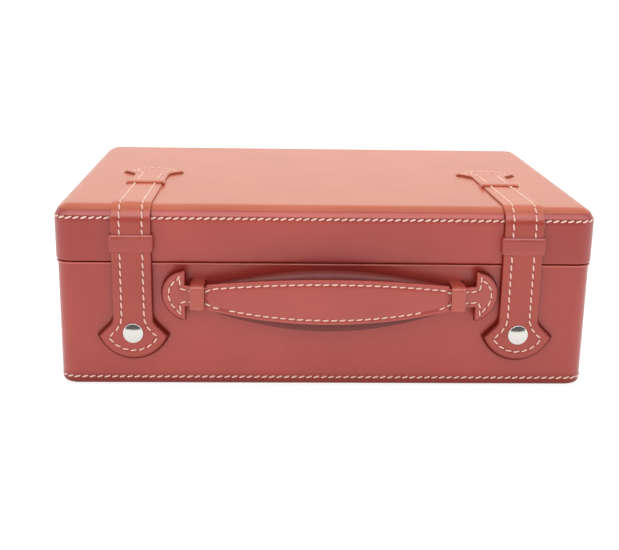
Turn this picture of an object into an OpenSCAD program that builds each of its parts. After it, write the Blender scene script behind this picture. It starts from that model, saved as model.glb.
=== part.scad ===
// Leather covered display box for pocket watches: a wooden box and lid joined by two rear hinges, held shut
// by two straps that snap to the front, and carried by a padded strap handle that runs through two loops.
// Millimetres. Origin at the middle of the underside, front towards -Y, +Z up, lid closed.

/* [Box] */
// Width of the lid, the widest part of the box
lid_w = 320; // [280:1:420]
// Depth of the lid, front to back
lid_d = 225; // [180:1:300]
// Height of the base, from the table to the seam
base_h = 77.4; // [74:0.1:110]
// Height of the lid, from the seam to its top
lid_h = 33.5; // [30:0.5:60]
// How far the lid stands out past the base on each side
overhang = 1; // [0.5:0.1:2]
// Radius of the upright corners of the lid
corner_r = 11; // [10.5:0.5:20]
// Radius of the rounding along the top edge of the lid
top_edge_r = 9.5; // [5:0.5:10]
// Radius of the rounding along the bottom edge of the base
bottom_edge_r = 3; // [1.6:0.1:5]
// Radius of the soft edge along the two rims
rim_edge_r = 1.4; // [0.8:0.1:2]
// Gap at the seam between the two rims
seam_gap = 0.3; // [0.2:0.1:0.6]

/* [Walls] */
// Thickness of the wooden walls
wall_t = 7; // [5:0.5:9]
// Thickness of the wooden floor and of the lid's board
board_t = 6; // [4:0.5:9]
// Thickness of the leather skins
leather_t = 1.4; // [1:0.1:2]
// Thickness of the suede lining
lining_t = 0.9; // [0.5:0.1:1.3]
// Depth of the leather turned over the rims and down the inner walls
turn_in = 10; // [6:0.5:14]
// Width of the leather turned under the base
turn_under = 14; // [8:0.5:20]
// Thickness of the sheet under the base
sole_t = 0.8; // [0.5:0.1:1.5]
// Distance from the edge of the base to that sheet
sole_inset = 4; // [3.5:0.5:8]
// Radius of the bead where the lid's side band laps the top panel
bead_r = 0.7; // [0.4:0.1:0.9]
// How far the bead stands out of the leather
bead_out = 0.5; // [0.2:0.1:0.6]

/* [Watch compartments] */
// Depth of the tray, from its floor to its rim
tray_depth = 38; // [30:1:42]
// Distance from the tray's rim up to the rim of the base
tray_drop = 4; // [3:0.5:8]
// Thickness of the tray's walls
tray_wall = 2.5; // [2:0.5:4]
// Thickness of the tray's floor
tray_floor = 3; // [2:0.5:5]
// Thickness of the dividers
divider_t = 3; // [2:0.5:4]
// Height of the dividers
divider_h = 35; // [26:1:36]
// Clearance of a divider in the slots that cross it and of the tray in the box
slip_gap = 0.15; // [0.1:0.05:0.3]
// Thickness of the frame that carries the tray
bearer_t = 6; // [4:0.5:10]
// Height of a watch pad at its crown
pad_h = 13; // [9:0.5:16]
// Space between a watch pad and the walls of its compartment
pad_gap = 0.8; // [0.4:0.1:2]
// How far the sides of a watch pad draw in between its corners
pad_draw = 1.2; // [0.4:0.1:2.5]
// Radius of the hollow that takes a watch case
watch_r = 25; // [20:0.5:28]
// Depth of that hollow
watch_dip = 3; // [1:0.5:5]
// Height of the padded panel inside the lid at its crown
lid_pad_h = 7; // [5:0.5:9]
// Margin from the lid's lining to the padded panel
lid_pad_gap = 3; // [1:0.5:8]
// How far the sides of the padded panel draw in between its corners
lid_pad_draw = 1.5; // [0.5:0.1:3]

/* [Straps] */
// Distance from the side of the lid to the middle of a strap
strap_inset = 45; // [36:0.5:48]
// How far the straps and the handle sit to the right of the middle of the box
front_shift = 0.9; // [-2:0.1:2]
// Width of a strap
strap_w = 23.2; // [18:0.1:24]
// Thickness of a strap on the front of the box, where it has a filler between two plies
strap_t = 3.2; // [2.6:0.1:4]
// Thickness of a strap on top of the lid
strap_top_t = 1.5; // [1:0.1:2.4]
// Half the width of the flared end of a strap, from its middle to a tip
flare_half = 20.4; // [17:0.1:24]
// Length of the flared end, from where it leaves the strap's edges to its lowest point
flare_l = 26.7; // [22:0.1:30]
// Distance along the strap from where the flare starts to its tips
flare_tip = 12.5; // [10:0.1:14]
// Radius of the concave curve that starts the flare
flare_r = 9; // [6:0.1:10]
// Distance from the middle of a snap down to the lowest point of a strap
tail_end = 15.9; // [14:0.1:20]
// Distance from the front of the lid to the start of the rear flare
rear_flare_y = 93.5; // [80:0.5:104]
// Clearance between the moving end of a strap and what it passes
tail_gap = 0.3; // [0.2:0.05:0.5]
// Length of a keeper along the strap
keeper_l = 10.3; // [8:0.1:12]
// Thickness of a keeper
keeper_t = 1.3; // [1:0.1:2]
// Clearance of a strap in its keeper
keeper_gap = 0.1; // [0.05:0.05:0.3]
// Distance from the seam up to the lower edge of the front keeper
keeper_up = 6.8; // [5.6:0.1:9]
// Distance from the front of the lid to the front edge of the top keeper
keeper_top_y = 61.5; // [50:0.5:76]

/* [Snaps] */
// Distance from the seam down to the middle of a snap
snap_down = 42.7; // [42.5:0.1:45.5]
// Radius of the snap's cap
cap_r = 6; // [5:0.1:7]
// Height of the cap's upright rim
cap_rim = 0.9; // [0.4:0.1:1.4]
// Height of the cap's dome above that rim
cap_dome = 1.2; // [0.8:0.1:2]
// Radius of the socket
socket_r = 4.8; // [4.2:0.1:5.4]
// Thickness of the socket
socket_t = 2.4; // [1.8:0.1:2.5]
// Radius of the head of the stud
stud_r = 2; // [1.6:0.1:2.5]
// Radial clearance of the stud in the socket
snap_gap = 0.06; // [0.03:0.01:0.1]
// Radius of the flange of the stud
flange_r = 5; // [4:0.1:6]
// Thickness of the flange of the stud
flange_t = 0.9; // [0.6:0.05:0.95]
// Radius of the screw that holds the stud in the wood
stud_screw_r = 1.3; // [1:0.1:1.5]
// Length of that screw
stud_screw_l = 7; // [5:0.5:8]
// Radius of the rivet that joins cap and socket through the strap
rivet_r = 1.2; // [0.8:0.1:1.4]

/* [Handle] */
// Distance from the edge of a strap to the end of the handle
moon_gap = 3.6; // [3.5:0.1:8]
// How far the ends of the handle sit to the right of the middle of its wide part
end_shift = 2; // [-2:0.1:2]
// Distance from the seam down to the middle of the handle
handle_down = 18; // [17:0.1:20]
// How far the front of the handle stands out from the base at its middle
handle_out = 22; // [21.5:0.1:28]
// How far the front of the handle stands out from the base at its ends
end_out = 4.7; // [4.6:0.1:6]
// Thickness of the handle strap
handle_t = 2.8; // [2.2:0.1:3]
// Height of the wide part of the handle strap at its middle
grip_h = 27; // [22:0.1:30]
// Height of the wide part at its ends, where its shoulders meet the loops
grip_end_h = 15.2; // [14.6:0.1:18]
// Gap between a shoulder and its loop
grip_gap = 0.9; // [0.85:0.05:2]
// Height of the necks of the strap that run through the loops
neck_h = 12.3; // [9:0.1:12.4]
// Radius of the half-moon ends
moon_r = 15; // [14:0.1:15.5]
// Depth of a half-moon end, from its flat side to its outermost point
moon_l = 13.9; // [10:0.1:13.9]
// Distance from the flat side of a half-moon end to the middle of its loop
loop_back = 8.7; // [8.2:0.1:10]
// Width of a loop, along the handle
loop_w = 8.3; // [6:0.1:8.6]
// Height of a loop
loop_h = 15.6; // [14.9:0.1:16]
// Room in front of the strap inside a loop
loop_slack = 1.5; // [0.3:0.1:2.5]
// Thickness of the leather of a loop
loop_t = 1.1; // [0.8:0.1:1.1]
// Depth to which the legs of a loop are let into the front wall
loop_root = 4; // [2:0.5:6]
// Distance from the shoulders of the strap to the ends of the padded core behind it
core_inset = 1.7; // [0.5:0.1:12]
// Height of the core above the middle of the handle, at its ends
core_end_up = 6.5; // [5:0.1:8]
// Height of the core above the middle of the handle, at its middle
core_up = 17; // [14:0.1:18]
// Depth of the core below the middle of the handle, at its ends
core_end_down = 9; // [6:0.1:10]
// Depth of the core below the middle of the handle, at its middle
core_down = 19.7; // [15:0.1:21]
// Thickness of the core at its middle
core_t = 10; // [7:0.5:11]
// Thickness of the core at its ends
core_end_t = 4; // [3:0.5:5]

/* [Hinges] */
// Distance from the side of the lid to the middle of a hinge
hinge_inset = 62; // [50:1:95]
// Length of a hinge
hinge_l = 40; // [30:1:60]
// Radius of the hinge's knuckles
barrel_r = 2.3; // [2:0.1:3]
// Radius of the hinge pin
hinge_pin_r = 1.1; // [0.8:0.1:1.3]
// Radial clearance of the pin in the knuckles
pin_gap = 0.05; // [0.02:0.01:0.09]
// Gap between neighbouring knuckles
knuckle_gap = 0.25; // [0.15:0.05:0.4]
// Width of a hinge leaf on the rim, from the back of the lid
leaf_w = 9; // [8:0.5:9.2]
// Radius of a hinge screw's shank
screw_r = 1.1; // [0.8:0.1:1.3]
// Length of a hinge screw
screw_l = 10; // [7:0.5:12]
// Distance between neighbouring hinge screws
screw_pitch = 13; // [9:0.5:14]

/* [Hidden] */
$fn = 96;
eps = 0.01;

// Box: the two halves share the centres of their upright corners
base_w = lid_w - 2 * overhang;
base_d = lid_d - 2 * overhang;
base_r = corner_r - overhang;
rim_z = base_h - seam_gap;
lid_top = base_h + lid_h;
wood_z = sole_t + leather_t;
floor_top = wood_z + board_t;
lid_front = -lid_d / 2;
base_front = -base_d / 2;
skin_and_wall = leather_t + wall_t;
base_in_w = base_w - 2 * skin_and_wall;
base_in_d = base_d - 2 * skin_and_wall;
lid_in_w = lid_w - 2 * skin_and_wall;
lid_in_d = lid_d - 2 * skin_and_wall;
lid_board_z = lid_top - leather_t - board_t;
arc_y = lid_front + top_edge_r;
arc_z = lid_top - top_edge_r;
band_top = arc_z + top_edge_r * sin(45);

// Tray and compartments: four along the width, three along the depth
columns = 4;
rows = 3;
tray_w = base_in_w - 2 * leather_t - 4 * slip_gap;
tray_d = base_in_d - 2 * leather_t - 4 * slip_gap;
tray_floor_top = rim_z - tray_drop - tray_depth;
tray_in_w = tray_w - 2 * tray_wall;
tray_in_d = tray_d - 2 * tray_wall;
cell_w = (tray_in_w - (columns - 1) * divider_t) / columns;
cell_d = (tray_in_d - (rows - 1) * divider_t) / rows;

// Straps
strap_x = lid_w / 2 - strap_inset;
strap_half = strap_w / 2;
keeper_z = base_h + keeper_up;
snap_z = base_h - snap_down;
tail_low = snap_z - tail_end;
joint_z = keeper_z - tail_gap - strap_t / 2;
tail_back = lid_front - tail_gap;
tail_front = tail_back - strap_t;
joint_y = (tail_back + tail_front) / 2;
flare_disc_r = (flare_half * flare_half + pow(flare_l - flare_tip, 2)) / (2 * (flare_l - flare_tip));
keeper_w = strap_w + 2 * (keeper_gap + keeper_t);
keeper_edge_r = 1.25 * keeper_t;
bend_r = top_edge_r + strap_top_t;
bead_clear = 0.05;
function strap_at(s) = s * strap_x + front_shift;

// Snaps
cap_h = cap_rim + cap_dome;
dome_r = (cap_r * cap_r + cap_dome * cap_dome) / (2 * cap_dome);
socket_web = 1;
stud_neck = 0.2;
stud_head = 1;

// Handle: half its length, and the places of its loops and shoulders, follow from the straps
handle_z = base_h - handle_down;
handle_half = strap_x - strap_half - moon_gap;
moon_x = handle_half - moon_l;
loop_x = moon_x - loop_back;
grip_half = loop_x - loop_w / 2 - grip_gap;
core_half = grip_half - core_inset;
bow_rise = handle_out - end_out;
bow_r = (handle_half * handle_half + bow_rise * bow_rise) / (2 * bow_rise);
bow_y = base_front - handle_out + bow_r;
grip_arc_r = (pow(grip_half, 2) + pow((grip_h - grip_end_h) / 2, 2)) / (grip_h - grip_end_h);
core_gap = 0.3;
// How far the front of the strap stands out from the base at a distance u from the middle of the handle
function bow(u) = handle_out - bow_r + sqrt(bow_r * bow_r - u * u);
loop_out = bow(loop_x - loop_w / 2) + loop_slack + loop_t;
loop_edge_r = 2;
function loop_at(s) = s * loop_x + front_shift;

// Hinges
hinge_x = lid_w / 2 - hinge_inset;
barrel_gap = 0.2;
hinge_y = lid_d / 2 + barrel_gap + barrel_r;
hinge_z = base_h - seam_gap / 2;
knuckles = 5;
knuckle_l = hinge_l / knuckles;
leaf_clear = 0.1;
screws = 3;
screw_gap = 0.05;
base_screw_y = base_d / 2 - leather_t - wall_t / 2;
lid_screw_y = lid_d / 2 - leather_t - wall_t / 2;

leather = [0.68, 0.33, 0.30];
leather_edge = [0.55, 0.25, 0.22];
suede = [0.86, 0.80, 0.70];
pad_suede = [0.92, 0.87, 0.79];
board = [0.72, 0.58, 0.42];
steel = [0.80, 0.80, 0.80];
brass = [0.80, 0.66, 0.36];

// ---- Shapes that the box is built from -------------------------------------------------------------------

function inner_r(r, t) = max(r - t, 0.5);

// A plate with upright rounded corners, standing on z = 0
module rounded_plate(w, d, r, h) {
    translate([-w / 2 + r, -d / 2, 0]) cube([w - 2 * r, d, h]);
    translate([-w / 2, -d / 2 + r, 0]) cube([w, d - 2 * r, h]);
    for (x = [-1, 1], y = [-1, 1])
        translate([x * (w / 2 - r), y * (d / 2 - r), 0]) cylinder(r = r, h = h);
}

// A ring of upright walls of thickness t
module wall_ring(w, d, r, t, h) {
    difference() {
        rounded_plate(w, d, r, h);
        translate([0, 0, -eps]) rounded_plate(w - 2 * t, d - 2 * t, inner_r(r, t), h + 2 * eps);
    }
}

// Carries a profile (x out from the corner centres, y up) once round a rounded rectangle
module edge_sweep(w, d, r) {
    reach = [w / 2 - r, d / 2 - r];
    for (k = [0 : 3]) {
        rotate([0, 0, 90 * k]) translate([reach[k % 2], 0, 0]) rotate([90, 0, 0])
            linear_extrude(height = 2 * reach[(k + 1) % 2], center = true) children();
        rotate([0, 0, 90 * k]) translate([reach[k % 2], reach[(k + 1) % 2], 0])
            rotate_extrude(angle = 90) children();
    }
}

// What rounding an edge takes off a block whose top is at z = 0
module edge_waste(w, d, r, edge_r) {
    edge_sweep(w, d, r) translate([r - edge_r, -edge_r]) difference() {
        square(edge_r + 1);
        circle(r = edge_r);
    }
}

// A block with upright rounded corners and rounded top and bottom edges, standing on z = 0
module soft_block(w, d, r, h, top_r, bottom_r) {
    difference() {
        rounded_plate(w, d, r, h);
        if (top_r > 0) translate([0, 0, h]) edge_waste(w, d, r, top_r);
        if (bottom_r > 0) mirror([0, 0, 1]) edge_waste(w, d, r, bottom_r);
    }
}

// A cushion: plan a by b, flat underneath, with a crowned top, drawn-in sides and an optional round hollow
module cushion(a, b, h, draw, dip_r, dip) {
    nu = 12;
    nv = 10;
    seam = 0.45 * h;
    function edge_u(j) = a / 2 - draw * cos(90 * (2 * j / nv - 1));
    function edge_v(i) = b / 2 - draw * cos(90 * (2 * i / nu - 1));
    function spot(i, j, s) = [s * (2 * i / nu - 1) * edge_u(j), s * (2 * j / nv - 1) * edge_v(i)];
    function crown(i, j) = pow((1 - pow(2 * i / nu - 1, 4)) * (1 - pow(2 * j / nv - 1, 4)), 0.5);
    function hollow(p) = norm(p) < dip_r ? dip * (1 + cos(180 * norm(p) / dip_r)) / 2 : 0;
    top = [for (j = [0 : nv], i = [0 : nu]) let (p = spot(i, j, 1))
        [p[0], p[1], seam + (h - seam) * crown(i, j) - hollow(p)]];
    rim = concat([for (i = [0 : nu - 1]) [i, 0]], [for (j = [0 : nv - 1]) [nu, j]],
        [for (i = [nu : -1 : 1]) [i, nv]], [for (j = [nv : -1 : 1]) [0, j]]);
    foot = [for (q = rim) let (p = spot(q[0], q[1], 0.97)) [p[0], p[1], 0]];
    n_top = len(top);
    n_rim = len(rim);
    function at(i, j) = j * (nu + 1) + i;
    polyhedron(
        points = concat(top, foot, [[0, 0, 0]]),
        faces = concat(
            [for (j = [0 : nv - 1], i = [0 : nu - 1]) [at(i, j), at(i, j + 1), at(i + 1, j)]],
            [for (j = [0 : nv - 1], i = [0 : nu - 1]) [at(i + 1, j), at(i, j + 1), at(i + 1, j + 1)]],
            [for (k = [0 : n_rim - 1]) let (q = rim[k], m = rim[(k + 1) % n_rim])
                [n_top + k, at(q[0], q[1]), n_top + (k + 1) % n_rim]],
            [for (k = [0 : n_rim - 1]) let (q = rim[k], m = rim[(k + 1) % n_rim])
                [at(q[0], q[1]), at(m[0], m[1]), n_top + (k + 1) % n_rim]],
            [for (k = [0 : n_rim - 1]) [n_top + k, n_top + (k + 1) % n_rim, n_top + n_rim]]));
}

// ---- Base ------------------------------------------------------------------------------------------------

// Suede sheet glued under the base, thick enough in the middle to fill the frame of turned-under leather
module base_sole() {
    color(suede) {
        rounded_plate(base_w - 2 * sole_inset, base_d - 2 * sole_inset, base_r - sole_inset, sole_t);
        rounded_plate(base_w - 2 * turn_under, base_d - 2 * turn_under, inner_r(base_r, turn_under), wood_z);
    }
}

// The wood of the base before its inside is cut out
module base_wood_block() {
    translate([0, 0, wood_z])
        soft_block(base_w - 2 * leather_t, base_d - 2 * leather_t, base_r - leather_t,
            rim_z - leather_t - wood_z, 0, bottom_edge_r - leather_t);
}

// Pockets for the hinge leaves in a rim, from z up or down by the thickness of the leather
module leaf_pockets(z, slack) {
    for (s = [-1, 1])
        translate([s * hinge_x - hinge_l / 2 - slack, lid_d / 2 - leaf_w - slack, z])
            cube([hinge_l + 2 * slack, leaf_w + slack + 1, leather_t + eps]);
}

module hinge_pilot_holes(y, z0, z1) {
    for (s = [-1, 1], k = [0 : screws - 1])
        translate([s * hinge_x + (k - (screws - 1) / 2) * screw_pitch, y, z0])
            cylinder(r = screw_r, h = z1 - z0);
}

// Slots for the legs of the handle loops, through the leather and into the front wall
module loop_slots() {
    for (s = [-1, 1], z = [-loop_h / 2, loop_h / 2 - loop_t])
        translate([loop_at(s) - loop_w / 2, base_front - eps, handle_z + z])
            cube([loop_w, loop_root + eps, loop_t]);
}

module stud_screw_holes() {
    for (s = [-1, 1])
        translate([strap_at(s), base_front - eps, snap_z]) rotate([-90, 0, 0])
            cylinder(r = stud_screw_r, h = stud_screw_l + eps);
}

// Leather of the base: round the sides, over the rim and down inside, and under the bottom edge
module base_cover() {
    color(leather) difference() {
        union() {
            difference() {
                translate([0, 0, sole_t])
                    soft_block(base_w, base_d, base_r, rim_z - sole_t, rim_edge_r, bottom_edge_r);
                base_wood_block();
            }
            translate([0, 0, rim_z - turn_in])
                wall_ring(base_in_w, base_in_d, inner_r(base_r, skin_and_wall), leather_t, turn_in);
        }
        translate([0, 0, wood_z + eps])
            rounded_plate(base_in_w - 2 * leather_t, base_in_d - 2 * leather_t,
                inner_r(base_r, skin_and_wall + leather_t), base_h);
        translate([0, 0, -eps])
            rounded_plate(base_w - 2 * turn_under, base_d - 2 * turn_under,
                inner_r(base_r, turn_under), wood_z + 2 * eps);
        leaf_pockets(rim_z - leather_t, leaf_clear);
        loop_slots();
        stud_screw_holes();
    }
}

// Four glued walls
module base_walls() {
    color(board) difference() {
        base_wood_block();
        translate([0, 0, wood_z - eps])
            rounded_plate(base_in_w, base_in_d, inner_r(base_r, skin_and_wall), base_h);
        hinge_pilot_holes(base_screw_y, rim_z - screw_l, rim_z);
        loop_slots();
        stud_screw_holes();
    }
}

module base_floor() {
    color(board) translate([0, 0, wood_z])
        rounded_plate(base_in_w, base_in_d, inner_r(base_r, skin_and_wall), board_t);
}

module base_lining() {
    lining_h = rim_z - turn_in - floor_top;
    color(suede) translate([0, 0, floor_top])
        wall_ring(base_in_w, base_in_d, inner_r(base_r, skin_and_wall), lining_t, lining_h);
}

// ---- Tray with its dividers and pads -----------------------------------------------------------------------

// Wooden frame with one cross rail that carries the tray at the right height
module tray_bearer() {
    bearer_h = tray_floor_top - tray_floor - floor_top;
    color(board) translate([0, 0, floor_top]) {
        wall_ring(tray_w, tray_d, 1, bearer_t, bearer_h);
        translate([-bearer_t / 2, -tray_d / 2 + bearer_t, 0])
            cube([bearer_t, tray_d - 2 * bearer_t, bearer_h]);
    }
}

module tray() {
    color(suede) translate([0, 0, tray_floor_top - tray_floor]) {
        rounded_plate(tray_w, tray_d, 1, tray_floor);
        wall_ring(tray_w, tray_d, 1, tray_wall, tray_floor + tray_depth);
    }
}

function divider_x(i) = -tray_in_w / 2 + i * (cell_w + divider_t) - divider_t / 2;
function divider_y(j) = -tray_in_d / 2 + j * (cell_d + divider_t) - divider_t / 2;

// Divider along the width, slotted from above where the cross dividers pass
module divider_long(j) {
    color(suede) translate([0, divider_y(j), tray_floor_top]) difference() {
        translate([-tray_in_w / 2 + slip_gap, -divider_t / 2, 0])
            cube([tray_in_w - 2 * slip_gap, divider_t, divider_h]);
        for (i = [1 : columns - 1])
            translate([divider_x(i) - divider_t / 2 - slip_gap, -divider_t, divider_h / 2])
                cube([divider_t + 2 * slip_gap, 2 * divider_t, divider_h]);
    }
}

// Divider along the depth, slotted from below where it straddles the long dividers
module divider_cross(i) {
    color(suede) translate([divider_x(i), 0, tray_floor_top]) difference() {
        translate([-divider_t / 2, -tray_in_d / 2 + slip_gap, 0])
            cube([divider_t, tray_in_d - 2 * slip_gap, divider_h]);
        for (j = [1 : rows - 1])
            translate([-divider_t, divider_y(j) - divider_t / 2 - slip_gap, -divider_h / 2])
                cube([2 * divider_t, divider_t + 2 * slip_gap, divider_h]);
    }
}

// Soft pad with a round hollow, lying on the floor of compartment k, counted row by row from the front left
module watch_pad(k) {
    i = (k - 1) % columns;
    j = floor((k - 1) / columns);
    x = divider_x(i) + (cell_w + divider_t) / 2;
    y = divider_y(j) + (cell_d + divider_t) / 2;
    color(pad_suede)
        translate([x, y, tray_floor_top])
            cushion(cell_w - 2 * pad_gap, cell_d - 2 * pad_gap, pad_h, pad_draw, watch_r, watch_dip);
}

// ---- Lid -------------------------------------------------------------------------------------------------

module lid_block() {
    translate([0, 0, base_h]) soft_block(lid_w, lid_d, corner_r, lid_h, top_edge_r, rim_edge_r);
}

module lid_wood_block() {
    translate([0, 0, base_h + leather_t])
        soft_block(lid_w - 2 * leather_t, lid_d - 2 * leather_t, corner_r - leather_t, lid_h - 2 * leather_t,
            top_edge_r - leather_t, 0);
}

// Wooden lid: a board with its edges rounded over, on four walls
module lid_shell() {
    color(board) difference() {
        lid_wood_block();
        translate([0, 0, base_h])
            rounded_plate(lid_in_w, lid_in_d, inner_r(corner_r, skin_and_wall), lid_board_z - base_h);
        hinge_pilot_holes(lid_screw_y, base_h, base_h + screw_l);
    }
}

// Everything of the lid's skin above or below the lap that runs round the rounded edge
module lid_skin(above) {
    intersection() {
        difference() {
            lid_block();
            lid_wood_block();
        }
        translate([-lid_w, -lid_d, above ? band_top : base_h - 1])
            cube([2 * lid_w, 2 * lid_d, above ? lid_h : band_top - base_h + 1]);
    }
}

module lid_top_cover() {
    color(leather) lid_skin(true);
}

// Bead along the lap, at 45 degrees on the rounding
module lap_bead(r) {
    out = top_edge_r - bead_r + bead_out;
    translate([0, 0, arc_z]) edge_sweep(lid_w, lid_d, corner_r)
        translate([corner_r - top_edge_r + out * cos(45), out * sin(45) - bead_r * 0.5]) circle(r = r);
}

// Side band: over the rim, up the sides and onto the rounded edge, where its folded edge makes a bead
module lid_side_band() {
    color(leather) difference() {
        union() {
            lid_skin(false);
            translate([0, 0, base_h])
                wall_ring(lid_in_w, lid_in_d, inner_r(corner_r, skin_and_wall), leather_t, turn_in);
            difference() {
                lap_bead(bead_r);
                lid_wood_block();
                translate([-lid_w, -lid_d, band_top]) cube([2 * lid_w, 2 * lid_d, lid_h]);
            }
        }
        translate([0, 0, base_h - 1])
            rounded_plate(lid_in_w - 2 * leather_t, lid_in_d - 2 * leather_t,
                inner_r(corner_r, skin_and_wall + leather_t), lid_h - 2);
        leaf_pockets(base_h - eps, leaf_clear);
    }
}

module lid_lining() {
    lining_h = lid_board_z - base_h - turn_in;
    color(suede) translate([0, 0, base_h + turn_in])
        wall_ring(lid_in_w, lid_in_d, inner_r(corner_r, skin_and_wall), lining_t, lining_h);
}

// Padded panel on the underside of the lid's board, crown down
module lid_pad() {
    margin = 2 * (lining_t + lid_pad_gap);
    color(pad_suede) translate([0, 0, lid_board_z - eps]) mirror([0, 0, 1])
        cushion(lid_in_w - margin, lid_in_d - margin, lid_pad_h, lid_pad_draw, 1, 0);
}

// ---- Straps ----------------------------------------------------------------------------------------------

// Flared end seen flat: x across the strap, the strap coming from +y, the flare starting at y = 0
module flare_outline() {
    tangent = acos(flare_r / norm([flare_half - strap_half - flare_r, flare_tip]));
    lean = atan2(flare_tip, strap_half + flare_r - flare_half);
    touch = [strap_half + flare_r - flare_r * cos(lean - tangent), -flare_r * sin(lean - tangent)];
    intersection() {
        translate([0, flare_disc_r - flare_l]) circle(r = flare_disc_r);
        translate([-flare_half, -flare_l]) square([2 * flare_half, flare_l - flare_tip]);
    }
    for (s = [0, 1]) mirror([s, 0]) difference() {
        polygon([[0, 0], [strap_half, 0], touch, [flare_half, -flare_tip], [0, -flare_tip]]);
        translate([strap_half + flare_r, 0]) circle(r = flare_r);
    }
}

// Side view of a strap's run from the joint up the front, over the rounded edge and along the top, as (y, z).
// The arc over the edge meets the thick front and the thin top at a tangent.
module strap_side(low_z, rear_y) {
    front_y = lid_front - strap_t;
    bead = top_edge_r - bead_r + bead_out;
    difference() {
        union() {
            translate([front_y, low_z]) square([rear_y - front_y, arc_z - low_z]);
            translate([front_y + bend_r, arc_z]) circle(r = bend_r);
            translate([front_y + bend_r, low_z])
                square([rear_y - front_y - bend_r, lid_top + strap_top_t - low_z]);
        }
        translate([lid_front, low_z - 1]) square([rear_y - lid_front + 1, arc_z - low_z + 1]);
        translate([arc_y, arc_z]) circle(r = top_edge_r);
        translate([arc_y, low_z - 1]) square([rear_y - arc_y + 1, lid_top - low_z + 1]);
        translate([arc_y - bead * cos(45), arc_z + bead * sin(45) - bead_r * 0.5])
            circle(r = bead_r + bead_clear);
    }
}

// Upper part of a strap, fixed to the lid: rear flare, run along the top, over the edge and down to the joint
module strap(s) {
    rear_y = lid_front + rear_flare_y;
    color(leather) translate([strap_at(s), 0, 0]) {
        translate([-strap_half, 0, 0]) rotate([90, 0, 90]) linear_extrude(height = strap_w)
            strap_side(joint_z + strap_t / 2 + tail_gap, rear_y);
        translate([0, rear_y, lid_top]) mirror([0, 1, 0])
            linear_extrude(height = strap_top_t) flare_outline();
    }
}

// Free end of a strap, which swings up from the joint under the front keeper
module tail(s) {
    flare_z = tail_low + flare_l;
    color(leather) translate([strap_at(s), 0, 0]) difference() {
        union() {
            translate([-strap_half, joint_y, joint_z]) rotate([0, 90, 0])
                cylinder(r = strap_t / 2, h = strap_w);
            translate([-strap_half, tail_front, flare_z]) cube([strap_w, strap_t, joint_z - flare_z]);
            translate([0, tail_back, flare_z]) rotate([90, 0, 0])
                linear_extrude(height = strap_t) flare_outline();
        }
        translate([0, tail_back + eps, snap_z]) rotate([90, 0, 0]) cylinder(r = socket_r, h = socket_t + eps);
        translate([0, tail_back + eps, snap_z]) rotate([90, 0, 0]) cylinder(r = rivet_r, h = strap_t + 1);
    }
}

// Keeper: a leather bridge over a strap of thickness t, standing on z = 0 with the strap running along z
module keeper_bridge(t) {
    keeper_out = t + keeper_gap + keeper_t;
    edge_r = min(keeper_edge_r, 0.4 * keeper_out);
    difference() {
        union() {
            translate([-keeper_w / 2, 0, 0]) cube([keeper_w, keeper_out - edge_r, keeper_l]);
            translate([-keeper_w / 2 + edge_r, 0, 0]) cube([keeper_w - 2 * edge_r, keeper_out, keeper_l]);
            for (s = [-1, 1])
                translate([s * (keeper_w / 2 - edge_r), keeper_out - edge_r, 0])
                    cylinder(r = edge_r, h = keeper_l);
        }
        translate([-strap_half - keeper_gap, -1, -1])
            cube([strap_w + 2 * keeper_gap, t + keeper_gap + 1, keeper_l + 2]);
    }
}

module front_keeper(s) {
    color(leather) translate([strap_at(s), lid_front, keeper_z]) mirror([0, 1, 0]) keeper_bridge(strap_t);
}

module top_keeper(s) {
    color(leather) translate([strap_at(s), lid_front + keeper_top_y + keeper_l, lid_top]) rotate([90, 0, 0])
        keeper_bridge(strap_top_t);
}

// ---- Snaps -----------------------------------------------------------------------------------------------

// Cap on the strap, an upright rim under a shallow dome, with the rivet that holds the socket
module snap_cap(s) {
    color(steel) translate([strap_at(s), tail_front, snap_z]) rotate([90, 0, 0]) {
        intersection() {
            translate([0, 0, cap_h - dome_r]) sphere(r = dome_r);
            cylinder(r = cap_r, h = cap_h + 1);
        }
        translate([0, 0, socket_t - strap_t]) cylinder(r = rivet_r, h = strap_t - socket_t + 0.2);
    }
}

module snap_socket(s) {
    color(steel) translate([strap_at(s), tail_back, snap_z]) rotate([90, 0, 0]) difference() {
        cylinder(r = socket_r, h = socket_t);
        translate([0, 0, -eps]) cylinder(r = stud_r + snap_gap, h = socket_t - socket_web + eps);
    }
}

// Stud on the base: flange, waisted post with a round head, and the screw into the wood
module snap_stud(s) {
    head_z = overhang + tail_gap + stud_neck;
    color(steel) translate([strap_at(s), base_front, snap_z]) rotate([90, 0, 0]) {
        translate([0, 0, -stud_screw_l]) cylinder(r = stud_screw_r, h = stud_screw_l + flange_t);
        cylinder(r = flange_r, h = flange_t);
        cylinder(r = stud_r * 0.8, h = head_z + stud_neck);
        translate([0, 0, head_z]) cylinder(r = stud_r, h = stud_head);
    }
}

// ---- Handle ----------------------------------------------------------------------------------------------

// Strap of the handle seen from the front: x along it from the middle of the handle, y up
module handle_outline() {
    intersection() {
        translate([0, grip_h / 2 - grip_arc_r]) circle(r = grip_arc_r, $fn = 720);
        translate([0, grip_arc_r - grip_h / 2]) circle(r = grip_arc_r, $fn = 720);
        square([2 * grip_half, grip_h], center = true);
    }
    translate([end_shift, 0]) {
        square([2 * moon_x + 2, neck_h], center = true);
        for (s = [0, 1]) mirror([s, 0]) intersection() {
            translate([handle_half - moon_r, 0]) circle(r = moon_r);
            translate([moon_x, -moon_r]) square([2 * moon_r, 2 * moon_r]);
        }
    }
}

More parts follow.
